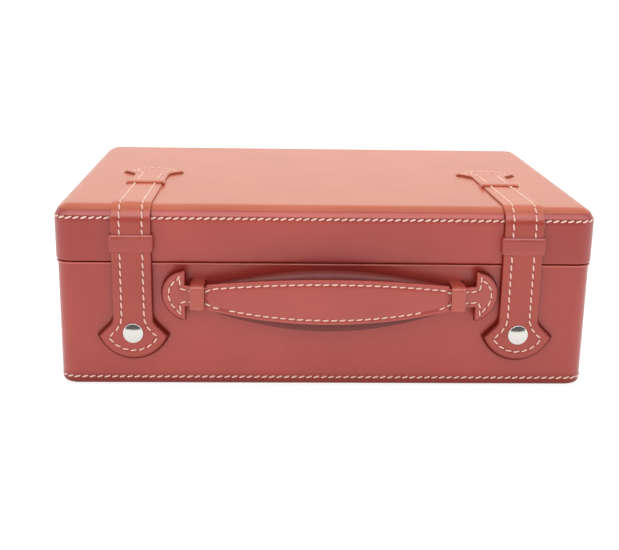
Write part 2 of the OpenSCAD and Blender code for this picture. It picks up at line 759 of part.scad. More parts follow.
// Long leather strap, bent to a bow: wide in the middle, a neck through each loop and a half-moon at each end
module handle_strap() {
    color(leather) intersection() {
        translate([front_shift, base_front, handle_z]) rotate([90, 0, 0])
            linear_extrude(height = handle_out + handle_t) handle_outline();
        translate([front_shift, bow_y, handle_z - grip_h]) difference() {
            cylinder(r = bow_r, h = 2 * grip_h, $fn = 720);
            translate([0, 0, -1]) cylinder(r = bow_r - handle_t, h = 2 * grip_h + 2, $fn = 720);
        }
    }
}

// Padded core behind the strap: a flat-fronted oval that swells from its ends to its middle, fuller below
module handle_core() {
    rings = 28;
    sides = 18;
    soft = 0.62;
    function swell(k) = pow(cos(90 * (2 * k / rings - 1)), 0.9);
    function up(k) = core_end_up + (core_up - core_end_up) * swell(k);
    function down(k) = core_end_down + (core_down - core_end_down) * swell(k);
    function depth(k) = core_end_t + (core_t - core_end_t) * swell(k);
    function soft_cos(a) = sign(cos(a)) * pow(abs(cos(a)), soft);
    function soft_sin(a) = sign(sin(a)) * pow(abs(sin(a)), soft);
    function ring_point(k, m) = let (u = core_half * (2 * k / rings - 1), a = 360 * m / sides)
        [front_shift + u,
         base_front - bow(u) + handle_t + core_gap + depth(k) / 2 * (1 - soft_cos(a)),
         handle_z + (a < 180 ? up(k) : down(k)) * soft_sin(a)];
    points = [for (k = [0 : rings], m = [0 : sides - 1]) ring_point(k, m)];
    color(leather_edge) polyhedron(
        points = points,
        faces = concat(
            [[for (m = [0 : sides - 1]) m]],
            [[for (m = [sides - 1 : -1 : 0]) rings * sides + m]],
            [for (k = [0 : rings - 1], m = [0 : sides - 1])
                [k * sides + m, (k + 1) * sides + m, k * sides + (m + 1) % sides]],
            [for (k = [0 : rings - 1], m = [0 : sides - 1])
                [(k + 1) * sides + m, (k + 1) * sides + (m + 1) % sides, k * sides + (m + 1) % sides]]));
}

// Leather loop over the neck of the handle, its two legs let into the front wall
module handle_loop(s) {
    color(leather)
        translate([loop_at(s), base_front, handle_z])
            rotate([90, 0, 90]) mirror([1, 0, 0]) translate([0, 0, -loop_w / 2]) difference() {
                union() {
                    translate([-loop_root, -loop_h / 2, 0])
                        cube([loop_root + loop_out - loop_edge_r, loop_h, loop_w]);
                    translate([0, -loop_h / 2 + loop_edge_r, 0])
                        cube([loop_out, loop_h - 2 * loop_edge_r, loop_w]);
                    for (v = [-1, 1])
                        translate([loop_out - loop_edge_r, v * (loop_h / 2 - loop_edge_r), 0])
                            cylinder(r = loop_edge_r, h = loop_w);
                }
                translate([-loop_root - 1, -loop_h / 2 + loop_t, -1])
                    cube([loop_root + 1 + loop_out - loop_t, loop_h - 2 * loop_t, loop_w + 2]);
            }
}

// ---- Hinges ----------------------------------------------------------------------------------------------

// Knuckles first, first + 2, ... of a hinge, each with the tab that joins it to its leaf at height z
module knuckle_row(first, z) {
    for (k = [first : 2 : knuckles - 1]) {
        x0 = -hinge_l / 2 + k * knuckle_l + (k > 0 ? knuckle_gap / 2 : 0);
        x1 = -hinge_l / 2 + (k + 1) * knuckle_l - (k < knuckles - 1 ? knuckle_gap / 2 : 0);
        translate([x0, hinge_y, hinge_z]) rotate([0, 90, 0]) cylinder(r = barrel_r, h = x1 - x0);
        translate([x0, lid_d / 2 - 1, z]) cube([x1 - x0, hinge_y - lid_d / 2 + 1, leather_t]);
    }
}

// A hinge leaf lying on a rim, its underside at height z, countersunk from the side that faces the other leaf
module leaf(first, z, screw_y, up) {
    head_z = up ? z : z + leather_t;
    color(brass) difference() {
        union() {
            translate([-hinge_l / 2, lid_d / 2 - leaf_w, z]) cube([hinge_l, leaf_w, leather_t]);
            knuckle_row(first, z);
        }
        translate([-hinge_l, hinge_y, hinge_z]) rotate([0, 90, 0])
            cylinder(r = hinge_pin_r + pin_gap, h = 2 * hinge_l);
        for (k = [0 : screws - 1])
            translate([(k - (screws - 1) / 2) * screw_pitch, screw_y, head_z]) mirror([0, 0, up ? 0 : 1])
                screw_shape(screw_gap, leather_t + 1);
    }
}

// Countersunk screw, head at z = 0, pointing up
module screw_shape(slack, l) {
    head_h = leather_t * 0.8;
    translate([0, 0, -slack])
        cylinder(r1 = 2 * screw_r + 2 * slack, r2 = screw_r + slack, h = head_h + slack);
    cylinder(r = screw_r + slack, h = l);
}

module base_leaf(s) {
    translate([s * hinge_x, 0, 0]) leaf(0, rim_z - leather_t, base_screw_y, false);
}

module lid_leaf(s) {
    translate([s * hinge_x, 0, 0]) leaf(1, base_h, lid_screw_y, true);
}

module hinge_pin(s) {
    color(brass) translate([s * hinge_x - hinge_l / 2, hinge_y, hinge_z]) rotate([0, 90, 0])
        cylinder(r = hinge_pin_r, h = hinge_l);
}

module hinge_screws(y, z, up) {
    color(brass) for (s = [-1, 1], k = [0 : screws - 1])
        translate([s * hinge_x + (k - (screws - 1) / 2) * screw_pitch, y, z]) mirror([0, 0, up ? 0 : 1])
            screw_shape(0, screw_l);
}

module base_hinge_screws() {
    hinge_screws(base_screw_y, rim_z, false);
}

module lid_hinge_screws() {
    hinge_screws(lid_screw_y, base_h, true);
}

// ---- The nodes -------------------------------------------------------------------------------------------

base_sole();
base_cover();
base_walls();
base_floor();
base_lining();
tray_bearer();
tray();
divider_long(1);  // divider_long_1
divider_long(2);  // divider_long_2
divider_cross(1);  // divider_cross_1
divider_cross(2);  // divider_cross_2
divider_cross(3);  // divider_cross_3
watch_pad(1);  // watch_pad_1
watch_pad(2);  // watch_pad_2
watch_pad(3);  // watch_pad_3
watch_pad(4);  // watch_pad_4
watch_pad(5);  // watch_pad_5
watch_pad(6);  // watch_pad_6
watch_pad(7);  // watch_pad_7
watch_pad(8);  // watch_pad_8
watch_pad(9);  // watch_pad_9
watch_pad(10);  // watch_pad_10
watch_pad(11);  // watch_pad_11
watch_pad(12);  // watch_pad_12
lid_shell();
lid_top_cover();
lid_side_band();
lid_lining();
lid_pad();
strap(-1);  // strap_left
strap(1);  // strap_right
tail(-1);  // tail_left
tail(1);  // tail_right
front_keeper(-1);  // front_keeper_left
front_keeper(1);  // front_keeper_right
top_keeper(-1);  // top_keeper_left
top_keeper(1);  // top_keeper_right
snap_cap(-1);  // snap_cap_left
snap_cap(1);  // snap_cap_right
snap_socket(-1);  // snap_socket_left
snap_socket(1);  // snap_socket_right
snap_stud(-1);  // snap_stud_left
snap_stud(1);  // snap_stud_right
handle_strap();
handle_core();
handle_loop(-1);  // handle_loop_left
handle_loop(1);  // handle_loop_right
base_leaf(-1);  // base_leaf_left
base_leaf(1);  // base_leaf_right
lid_leaf(-1);  // lid_leaf_left
lid_leaf(1);  // lid_leaf_right
hinge_pin(-1);  // hinge_pin_left
hinge_pin(1);  // hinge_pin_right
base_hinge_screws();
lid_hinge_screws();
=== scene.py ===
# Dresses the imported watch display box: leather covers, straps, handle, stitches, linings, pads and fittings.
import bmesh
import bpy
import numpy as np
from mathutils import Matrix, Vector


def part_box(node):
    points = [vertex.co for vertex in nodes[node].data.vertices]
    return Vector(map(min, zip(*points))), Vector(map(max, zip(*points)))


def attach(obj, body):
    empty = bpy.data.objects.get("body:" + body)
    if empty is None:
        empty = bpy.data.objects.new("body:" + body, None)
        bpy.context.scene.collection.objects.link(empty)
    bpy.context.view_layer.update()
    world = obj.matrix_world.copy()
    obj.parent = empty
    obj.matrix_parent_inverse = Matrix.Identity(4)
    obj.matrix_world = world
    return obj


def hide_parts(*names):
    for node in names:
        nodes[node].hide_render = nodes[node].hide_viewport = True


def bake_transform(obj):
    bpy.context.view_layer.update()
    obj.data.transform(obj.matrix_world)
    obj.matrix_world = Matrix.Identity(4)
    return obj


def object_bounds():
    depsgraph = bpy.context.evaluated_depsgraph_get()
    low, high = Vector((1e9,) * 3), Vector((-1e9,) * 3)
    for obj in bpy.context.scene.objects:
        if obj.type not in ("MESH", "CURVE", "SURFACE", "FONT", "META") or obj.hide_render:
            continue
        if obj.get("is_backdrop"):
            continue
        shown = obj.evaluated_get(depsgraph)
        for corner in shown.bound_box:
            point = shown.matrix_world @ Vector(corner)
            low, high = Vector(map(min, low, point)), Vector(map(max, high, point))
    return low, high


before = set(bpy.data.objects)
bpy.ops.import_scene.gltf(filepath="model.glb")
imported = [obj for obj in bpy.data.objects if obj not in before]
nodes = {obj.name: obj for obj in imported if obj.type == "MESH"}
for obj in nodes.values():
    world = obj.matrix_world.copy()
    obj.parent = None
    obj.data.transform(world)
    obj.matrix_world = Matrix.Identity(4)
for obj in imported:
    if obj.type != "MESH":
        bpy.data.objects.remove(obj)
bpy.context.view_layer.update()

# ---- Camera --------------------------------------------------------------------------------------
# The photographer stood a little left of the middle and looked slightly down on the box from its front.
# Place, turn and focal length come from the straight edges of the lid and base in the photograph.
eye = np.array([-0.0325, -0.7193, 0.2412])
yaw, pitch, roll = np.radians([2.14, 15.73, -0.978])
focal_px, image_w, sensor_w = 1066.8, 619, 36
ahead = np.array([np.sin(yaw) * np.cos(pitch), np.cos(yaw) * np.cos(pitch), -np.sin(pitch)])
level = np.array([np.cos(yaw), -np.sin(yaw), 0.0])
down = np.cross(ahead, level)
image_right = np.cos(roll) * level + np.sin(roll) * down
image_down = -np.sin(roll) * level + np.cos(roll) * down
camera = bpy.data.objects.new("camera", bpy.data.cameras.new("camera"))
bpy.context.scene.collection.objects.link(camera)
camera_turn = Matrix(np.array([image_right, -image_down, -ahead]).T.tolist()).to_4x4()
camera.matrix_world = Matrix.Translation(eye) @ camera_turn
camera.data.sensor_width = sensor_w
camera.data.lens = focal_px * sensor_w / image_w
camera.data.clip_start = 0.01
bpy.context.scene.camera = camera

# ---- Studio --------------------------------------------------------------------------------------
# A white table and a white backdrop. A lamp behind and above lights the lid and the table, which sends light
# up to the box's front; a low lamp from the left fills it, and a high strip of light glints along the edges.


def srgb(code):
    """A colour in six hex digits, turned to linear light: the sRGB curve undone channel by channel."""
    c = np.array([int(code[i:i + 2], 16) for i in (0, 2, 4)]) / 255
    return (*np.where(c > 0.04045, ((c + 0.055) / 1.055) ** 2.4, c / 12.92).tolist(), 1.0)


def add(tree, kind, inputs=(), **settings):
    """Adds a node, with its settings, and gives each named or numbered input a value or a link."""
    node = tree.nodes.new("ShaderNode" + kind)
    for key, value in settings.items():
        setattr(node, key, value)
    for key, value in dict(inputs).items():
        if isinstance(value, bpy.types.NodeSocket):
            tree.links.new(value, node.inputs[key])
        else:
            node.inputs[key].default_value = value
    return node


# The room as glossy surfaces see it, by its height over the front horizon in radians: dark behind the
# photographer, bright high in front, at the sides and behind the box. The camera sees plain white.
world = bpy.data.worlds.new("studio_room")
bpy.context.scene.world = world
world.use_nodes = True
room = world.node_tree
room.nodes.clear()
white, front_glow = (1, 1, 1, 1), 3.4
ray = add(room, "LightPath")
toward = add(room, "SeparateXYZ", {0: add(room, "TexCoord").outputs["Object"]})
forward = add(room, "Math", {0: toward.outputs["Y"], 1: -1.0}, operation="MULTIPLY")
height = add(room, "Math", {0: toward.outputs["Z"], 1: forward.outputs[0]}, operation="ARCTAN2")
sideways = add(room, "Math", {0: toward.outputs["X"]}, operation="ABSOLUTE")
lights_up = add(room, "MapRange", {"Value": height.outputs[0], "From Min": 0.42, "From Max": 0.58,
                                   "To Min": 0.15, "To Max": front_glow}, interpolation_type="SMOOTHSTEP")
dim_zenith = add(room, "MapRange", {"Value": height.outputs[0], "From Min": 0.95, "From Max": 1.35,
                                    "To Min": front_glow, "To Max": 0.25}, interpolation_type="SMOOTHSTEP")
back_wall = add(room, "MapRange", {"Value": height.outputs[0], "From Min": 2.1, "From Max": 2.6},
                interpolation_type="SMOOTHSTEP")
side_wall = add(room, "MapRange", {"Value": sideways.outputs[0], "From Min": 0.45, "From Max": 0.8,
                                   "To Max": 0.95}, interpolation_type="SMOOTHSTEP")
front_part = add(room, "Math", {0: lights_up.outputs[0], 1: dim_zenith.outputs[0]}, operation="MINIMUM")
walls = add(room, "Math", {0: back_wall.outputs[0], 1: side_wall.outputs[0]}, operation="MAXIMUM")
glint = add(room, "Math", {0: front_part.outputs[0], 1: walls.outputs[0]}, operation="MAXIMUM")
warm = add(room, "Mix", {"Factor": back_wall.outputs[0], "A": white, "B": (1, 0.94, 0.86, 1)},
           data_type="RGBA")
mirrored = add(room, "Background", {"Color": warm.outputs[2], "Strength": glint.outputs[0]})
fill_light = add(room, "Background", {"Color": white, "Strength": 0.48})
backdrop = add(room, "Background", {"Color": white, "Strength": 1.0})
lit = add(room, "MixShader", {0: ray.outputs["Is Glossy Ray"], 1: fill_light.outputs[0],
                              2: mirrored.outputs[0]})
seen = add(room, "Math", {0: ray.outputs["Is Camera Ray"], 1: ray.outputs["Is Transmission Ray"]},
           operation="MAXIMUM")
room_mix = add(room, "MixShader", {0: seen.outputs[0], 1: lit.outputs[0], 2: backdrop.outputs[0]})
add(room, "OutputWorld", {"Surface": room_mix.outputs[0]})


def new_material(name):
    """A material and its node tree, still empty."""
    material = bpy.data.materials.new(name)
    material.use_nodes = True
    material.node_tree.nodes.clear()
    return material, material.node_tree


# The table's paper looks nearly as white as the backdrop and keeps a faint shadow; it lights the box as white
# card does.
table_paper, paper = new_material("table_paper")
ray = add(paper, "LightPath")
shadow_catch = add(paper, "BsdfDiffuse", {"Color": (0.26, 0.26, 0.26, 1)})
glow = add(paper, "Emission", {"Color": white, "Strength": 0.90})
shown = add(paper, "AddShader", {0: shadow_catch.outputs[0], 1: glow.outputs[0]})
card = add(paper, "BsdfDiffuse", {"Color": (0.85, 0.85, 0.85, 1)})
bounced = add(paper, "Emission", {"Color": white, "Strength": 0.45})
lit = add(paper, "AddShader", {0: card.outputs[0], 1: bounced.outputs[0]})
seen = add(paper, "Math", {0: ray.outputs["Is Camera Ray"], 1: ray.outputs["Is Glossy Ray"]},
           operation="MAXIMUM")
paper_mix = add(paper, "MixShader", {0: seen.outputs[0], 1: lit.outputs[0], 2: shown.outputs[0]})
add(paper, "OutputMaterial", {"Surface": paper_mix.outputs[0]})

table_mesh = bpy.data.meshes.new("table")
table_mesh.from_pydata([(-4, -3, 0), (4, -3, 0), (4, 6, 0), (-4, 6, 0)], [], [(0, 1, 2, 3)])
table = bpy.data.objects.new("table", table_mesh)
table_mesh.materials.append(table_paper)
bpy.context.scene.collection.objects.link(table)
table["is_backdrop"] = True


def soft_lamp(name, place, aim, size, watts, colour=(1, 1, 1), glints=False):
    """A soft box at a place, turned towards a point, which shows in glossy surfaces or not."""
    lamp = bpy.data.objects.new(name, bpy.data.lights.new(name, "AREA"))
    lamp.data.shape = "RECTANGLE"
    lamp.data.size, lamp.data.size_y = size
    lamp.data.energy = watts
    lamp.data.color = colour
    lamp.visible_glossy = glints
    back = np.array(place, float) - np.array(aim, float)
    back /= np.linalg.norm(back)
    side = np.cross([0, 0, 1], back)
    side /= np.linalg.norm(side)
    turn = np.array([side, np.cross(back, side), back]).T
    lamp.matrix_world = Matrix.Translation(place) @ Matrix(turn.tolist()).to_4x4()
    bpy.context.scene.collection.objects.link(lamp)


soft_lamp("lamp_strip", place=(-0.30, -1.90, 1.35), aim=(0, -0.1, 0.08), size=(2.4, 0.40), watts=6,
          glints=True)
soft_lamp("lamp_low", place=(-0.90, -2.00, 0.30), aim=(0, -0.1, 0.08), size=(1.6, 0.5), watts=5)
soft_lamp("lamp_behind", place=(0.10, 0.50, 1.50), aim=(0, -0.1, 0.1), size=(1.8, 1.2), watts=24.5,
          colour=(1.0, 0.95, 0.87))
bpy.context.scene.view_settings.view_transform = "Standard"

# ---- Leather covers of base and lid --------------------------------------------------------------
# Smooth split hide with a satin top coat, glued over the wood: a fine pebble grain, a soft sheen and faint
# darker clouds from handling. The CAD shells keep their shape. A shallow dent runs under each stitch row,
# darkened with painted shade. Painted shade also deepens the leather towards the sides, at the seam and
# towards the bottom of the base, and the lid's lighter, more orange top is painted light.
MM = 0.001
lid_low, lid_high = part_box("lid_side_band")
base_low, base_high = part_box("base_cover")
lid_w, lid_d = lid_high.x - lid_low.x, lid_high.y - lid_low.y
base_w, base_d = base_high.x - base_low.x, base_high.y - base_low.y
lid_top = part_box("lid_top_cover")[1].z
hem_z, lap_row_z = 5.5 * MM, 103.7 * MM


def leather(name, colour, cloud, roughness=0.40, coat=0.6, edge_shaded=False, dent_z=(), dark_z=(),
            painted_top_light=None, painted_side_shade=0.0):
    """Satin coated hide: cell pattern grain of 0.9 mm, wrinkles of 3 mm, clouds of 50 mm, and dents 3.2 mm
    wide at the heights dent_z. Painted shade makes it darker and takes its shine in the dents, where a piece's
    own shade attribute says so, and near the heights in dark_z, each given with its reach and its share. On
    top of the lid painted light turns it to the given top colour, and 90 to 128 mm out to the sides painted
    shade makes it deeper, by the given share."""
    material, tree = new_material(name)
    where = add(tree, "TexCoord").outputs["Object"]
    spot = add(tree, "SeparateXYZ", {0: where})
    clouds = add(tree, "TexNoise", {"Vector": where, "Scale": 1 / 0.050, "Detail": 3.0, "Roughness": 0.55})
    cloudy = add(tree, "MapRange", {"Value": clouds.outputs[0], "From Min": 0.35, "From Max": 0.65,
                                    "To Max": 0.8})
    tone = add(tree, "Mix", {"Factor": cloudy.outputs[0], "A": srgb(colour), "B": srgb(cloud)},
               data_type="RGBA").outputs[2]
    # Painted shade: the colour gets deeper towards both sides of the box.
    if painted_side_shade:
        far_out = add(tree, "Math", {0: spot.outputs["X"]}, operation="ABSOLUTE")
        side_shade_mask = add(tree, "MapRange", {"Value": far_out.outputs[0], "From Min": 0.090, "From Max": 0.128,
                                        "To Max": painted_side_shade}, interpolation_type="SMOOTHSTEP")
        tone = add(tree, "Mix", {"Factor": side_shade_mask.outputs[0], "A": tone, "B": srgb("9C2A20")},
                   data_type="RGBA").outputs[2]
    # Painted light: on top of the lid the leather turns lighter and more orange.
    if painted_top_light:
        top_light_mask = add(tree, "MapRange", {"Value": spot.outputs["Z"], "From Min": lid_top - 0.005,
                                        "From Max": lid_top}, interpolation_type="SMOOTHSTEP").outputs[0]
        tone = add(tree, "Mix", {"Factor": top_light_mask, "A": tone, "B": srgb(painted_top_light)}, data_type="RGBA").outputs[2]
    cells = add(tree, "TexVoronoi", {"Vector": where, "Scale": 1 / 0.0009, "Randomness": 0.9},
                feature="SMOOTH_F1")
    wrinkles = add(tree, "TexNoise", {"Vector": where, "Scale": 1 / 0.003, "Detail": 4.0, "Roughness": 0.6})
    rough = add(tree, "MapRange", {"Value": wrinkles.outputs[0], "To Min": roughness - 0.05,
                                   "To Max": roughness + 0.05})
    height = add(tree, "Math", {0: cells.outputs["Distance"], 1: 0.5, 2: wrinkles.outputs[0]},
                 operation="MULTIPLY_ADD")
    normal = add(tree, "Bump", {"Height": height.outputs[0], "Strength": 0.10,
                                "Distance": 0.0003}).outputs[0]

    def away_from(z):
        """Distance of a spot's height from the height z."""
        off = add(tree, "Math", {0: spot.outputs["Z"], 1: z}, operation="SUBTRACT")
        return add(tree, "Math", {0: off.outputs[0]}, operation="ABSOLUTE").outputs[0]

    # Painted shade: one mask, from a piece's attribute, the dents and the heights in dark_z, darkens the
    # colour and takes away the shine.
    painted_shade = add(tree, "Attribute", attribute_name="painted_edge_shade").outputs["Fac"] if edge_shaded else None
    dent_half, dent_deep, dent_shade = 1.6 * MM, 0.4 * MM, 0.75
    for z in dent_z:
        dent = add(tree, "MapRange", {"Value": away_from(z), "From Max": dent_half},
                   interpolation_type="SMOOTHSTEP").outputs[0]
        normal = add(tree, "Bump", {"Height": dent, "Strength": 0.6, "Distance": dent_deep,
                                    "Normal": normal}).outputs[0]
        painted_shade = add(tree, "Math", {0: dent, 1: -dent_shade, 2: dent_shade}, operation="MULTIPLY_ADD").outputs[0]
    for z, reach, share in dark_z:
        dark = add(tree, "MapRange", {"Value": away_from(z), "From Max": reach, "To Min": share,
                                      "To Max": 0.0})
        painted_shade = add(tree, "Math", {0: painted_shade, 1: dark.outputs[0]}, operation="MAXIMUM").outputs[0]
    sheen = 0.5
    if painted_shade is not None:
        shade_tone = srgb("6E1C14")
        # Painted light also lightens the painted shade's colour on top of the lid.
        if painted_top_light:
            shade_tone = add(tree, "Mix", {"Factor": top_light_mask, "A": shade_tone, "B": srgb("A4523A")},
                           data_type="RGBA").outputs[2]
        tone = add(tree, "Mix", {"Factor": painted_shade, "A": tone, "B": shade_tone}, data_type="RGBA").outputs[2]
        coat = add(tree, "MapRange", {"Value": painted_shade, "To Min": coat, "To Max": 0.0}).outputs[0]
        sheen = add(tree, "MapRange", {"Value": painted_shade, "To Min": sheen, "To Max": 0.08}).outputs[0]
    hide = add(tree, "BsdfPrincipled", {"Base Color": tone, "Roughness": rough.outputs[0], "Normal": normal,
                                        "IOR": 1.5, "Specular IOR Level": sheen, "Coat Weight": coat,
                                        "Coat Roughness": 0.25})
    add(tree, "OutputMaterial", {"Surface": hide.outputs[0]})
    return material


def dress(node, material):
    """Gives a CAD node its finish."""
    nodes[node].data.materials.clear()
    nodes[node].data.materials.append(material)


# Painted shade: the base gets darker towards its bottom and at its rim under the seam, the lid band at its
# lower edge, and both towards the sides.
panel_leather = leather("satin_hide_panels", "B03C30", "A6342A", dent_z=(hem_z,),
                        dark_z=((0.0, 9 * MM, 1.0), (base_high.z, 0.4 * MM, 0.8)), painted_side_shade=0.4)
band_leather = leather("satin_hide_band", "B03C30", "A6342A", dent_z=(lap_row_z,),
                       dark_z=((lid_low.z, 0.4 * MM, 0.8),), painted_side_shade=0.95)
dress("base_cover", panel_leather)
dress("lid_side_band", band_leather)
# The lid's top is coloured lighter and more orange than its sides: painted light.
dress("lid_top_cover", leather("satin_hide_top", "C4664A", "BC5E42"))

# ---- Stitch rows of base and lid -----------------------------------------------------------------
# Waxed cream thread, about 1 mm thick, sewn through the leather all round: low on the base, and on the lid
# where the side band laps the top. Each stitch slants a little, like a strand of a rope.
corner_r, base_corner_r, top_edge_r = 11 * MM, 10 * MM, 9.5 * MM


def mesh_piece(name, points, material, *faces):
    """A smooth piece at the origin, from its points and arrays of faces with equally many corners."""
    mesh = bpy.data.meshes.new(name)
    faces = [face for part in faces for face in part.tolist()]
    mesh.from_pydata(np.reshape(points, (-1, 3)).tolist(), [], faces)
    mesh.polygons.foreach_set("use_smooth", [True] * len(faces))
    mesh.materials.append(material)
    mesh.update()
    piece = bpy.data.objects.new(name, mesh)
    bpy.context.scene.collection.objects.link(piece)
    return piece


def ring_quads(ids, joined=False):
    """Quads between neighbouring closed rings, one row of point numbers for each, and where joined also
    between the last ring and the first."""
    here, there = (ids, np.roll(ids, -1, axis=0)) if joined else (ids[:-1], ids[1:])
    return np.stack([here, there, np.roll(there, -1, axis=1), np.roll(here, -1, axis=1)], -1).reshape(-1, 4)


def ring_caps(ids):
    """One face over the first ring and one over the last."""
    return np.stack([ids[0], ids[-1, ::-1]])


def unit(rows):
    """Vectors in rows, scaled to length one."""
    return rows / np.linalg.norm(rows, axis=1, keepdims=True)


def thread():
    """Waxed linen thread: matt off-white with a faint twist."""
    material, tree = new_material("waxed_linen_thread")
    where = add(tree, "TexCoord").outputs["Object"]
    twist = add(tree, "TexNoise", {"Vector": where, "Scale": 1 / 0.0006, "Detail": 2.0})
    tone = add(tree, "Mix", {"Factor": twist.outputs[0], "A": srgb("F8D8CA"), "B": srgb("EAB8AA")},
               data_type="RGBA")
    bump = add(tree, "Bump", {"Height": twist.outputs[0], "Strength": 0.3, "Distance": 0.0002})
    fibre = add(tree, "BsdfPrincipled", {"Base Color": tone.outputs[2], "Roughness": 0.7,
                                         "Normal": bump.outputs[0], "Sheen Weight": 0.2})
    add(tree, "OutputMaterial", {"Surface": fibre.outputs[0]})
    return material


linen = thread()


def stitches(name, at, along, out, length, width, rise, slant):
    """One mesh of many stitches. Each is a thread bowed over the leather: its centre line rises as 1 - u^2,
    and its thickness shrinks as the fourth root of 1 - u^4 towards the ends, which sink into their holes,
    0.35 of its width deep. Width and rise are one number for all or one for each."""
    width, rise = (np.broadcast_to(measure, len(at))[:, None, None] for measure in (width, rise))
    along = unit(along)
    out = unit(out - along * np.sum(out * along, axis=1, keepdims=True))
    across = np.cross(out, along)
    along, across = (np.cos(slant) * along + np.sin(slant) * across,
                     np.cos(slant) * across - np.sin(slant) * along)
    u = np.linspace(-0.98, 0.98, 7)
    v = np.arange(6) * np.pi / 3
    uu, vv = np.meshgrid(u, v, indexing="ij")
    thick = (1 - uu ** 4) ** 0.25
    x = uu * length / 2
    y = np.cos(vv) * thick * width / 2
    z = np.sin(vv) * thick * width / 2 + rise * (1 - uu ** 2) - 0.35 * width
    points = (at[:, None, None] + x[None, ..., None] * along[:, None, None]
              + y[..., None] * across[:, None, None] + z[..., None] * out[:, None, None])
    ids = np.arange(uu.size).reshape(uu.shape)
    first = np.arange(len(at))[:, None, None] * uu.size
    return mesh_piece(name, points, linen, (first + ring_quads(ids)).reshape(-1, 4),
                      (first + ring_caps(ids)).reshape(-1, len(v)))


def arc_length(line):
    """How far along the line each of its points is."""
    return np.concatenate([[0], np.cumsum(np.linalg.norm(np.diff(line, axis=0), axis=1))])


def spaced(line, pitch):
    """Points on a dense closed line at equal steps near the pitch, and the line's direction there."""
    line = np.concatenate([line, line[:1]])
    run = arc_length(line)
    count = int(round(run[-1] / pitch))
    s = (np.arange(count) + 0.5) * run[-1] / count
    pick = lambda t: np.stack([np.interp(t, run, line[:, k]) for k in range(2)], -1)
    return pick(s), pick(s + pitch / 4) - pick(s - pitch / 4)


def round_the_box(w, d, r):
    """A dense line once round a rectangle with rounded corners, seen from above, anticlockwise."""
    quarter = np.linspace(0, np.pi / 2, 24)
    arcs = [((w / 2 - r) * sx, (d / 2 - r) * sy, quarter + start * np.pi / 2)
            for start, (sx, sy) in enumerate(((1, 1), (-1, 1), (-1, -1), (1, -1)))]
    return np.concatenate([np.stack([x + r * np.cos(turn), y + r * np.sin(turn)], -1) for x, y, turn in arcs])


def box_row(name, body, w, d, r, z, pitch, tilt):
    """A stitch row round the box at height z, on leather whose outside leans back by the angle tilt."""
    at, along = spaced(round_the_box(w, d, r), pitch)
    at = np.column_stack([at, np.full(len(at), z)])
    along = np.column_stack([along, np.zeros(len(along))])
    out = np.column_stack([along[:, 1], -along[:, 0], np.zeros(len(at))])
    out = unit(out) * np.cos(tilt) + np.array([0, 0, np.sin(tilt)])
    row = stitches(name, at, along, out, length=pitch * 0.95, width=1.15 * MM, rise=0.40 * MM,
                   slant=np.radians(15))
    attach(row, body)


lap_tilt = np.arcsin((lap_row_z - (lid_top - top_edge_r)) / top_edge_r)
lap_in = top_edge_r * (1 - np.cos(lap_tilt))
box_row("stitch_row_base", "base", base_w, base_d, base_corner_r, hem_z, pitch=4.51 * MM, tilt=0.0)
box_row("stitch_row_lid", "lid", lid_w - 2 * lap_in, lid_d - 2 * lap_in, corner_r - lap_in, lap_row_z,
        pitch=4.46 * MM, tilt=lap_tilt)

# ---- Folded rim of the base ----------------------------------------------------------------------
# The base leather is folded over at the rim, and the fold stands out as a thin roll just under the seam,
# which catches the light from above all the way round. Its section is an ellipse, carried round the box.
fold_out, fold_up, fold_drop = 0.85 * MM, 0.65 * MM, 0.85 * MM


def right_of(line):
    """Unit vectors that point to the right of a closed line."""
    run = np.roll(line, -1, axis=0) - np.roll(line, 1, axis=0)
    return unit(np.column_stack([run[:, 1], -run[:, 0]]))


def ring_piece(name, grid, material, joined=False, capped=False):
    """A piece from a grid of points, one row for each closed ring, open at its ends, joined or capped."""
    ids = np.arange(grid[..., 0].size).reshape(grid.shape[:2])
    return mesh_piece(name, grid, material, ring_quads(ids, joined), *([ring_caps(ids)] if capped else []))


rim_line = round_the_box(base_w, base_d, base_corner_r)
around = np.arange(10) * np.pi / 5
fold_plan = rim_line[:, None] + right_of(rim_line)[:, None] * (np.cos(around) * fold_out)[:, None]
fold_z = np.broadcast_to(base_high.z - fold_drop + np.sin(around) * fold_up, fold_plan.shape[:2])
# The fold's leather is coloured lighter than the rest: a painted highlight along the rim.
rim_leather = leather("satin_hide_rim", "C65C4E", "BE5446", roughness=0.3)
rim_fold = ring_piece("base_rim_fold", np.dstack([fold_plan, fold_z]), rim_leather, joined=True)
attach(rim_fold, "base")

# ---- Straps --------------------------------------------------------------------------------------
# Two plies of hide with a thin filler, folded at the edges and sewn 5 mm in: the middle stands up softly
# between the stitch lines. One piece from the flare on the lid, over the edge and down to the snap, fixed as
# it lies with the snap closed; the real strap bends just under the keeper when the snap is opened. On top of
# the lid there is no filler, and it lies thinner.
strap_x, strap_w, strap_t, strap_top_t = 115 * MM, 23.2 * MM, 3.2 * MM, 1.5 * MM
front_shift, strap_sewn = 0.9 * MM, 5.0 * MM
flare_half, flare_l, flare_tip, flare_r = 20.4 * MM, 26.7 * MM, 12.5 * MM, 9 * MM
tail_low = 18.8 * MM
front_y, back_flare_y = -lid_d / 2, -19 * MM
bend_y, bend_z = front_y + top_edge_r, lid_top - top_edge_r
bend_mid = top_edge_r + strap_t / 2
bend_l = bend_mid * np.pi / 2
lean, rear_taper, keeper_behind = {-1: 0.026, 1: 0.036}, 0.06, 57 * MM


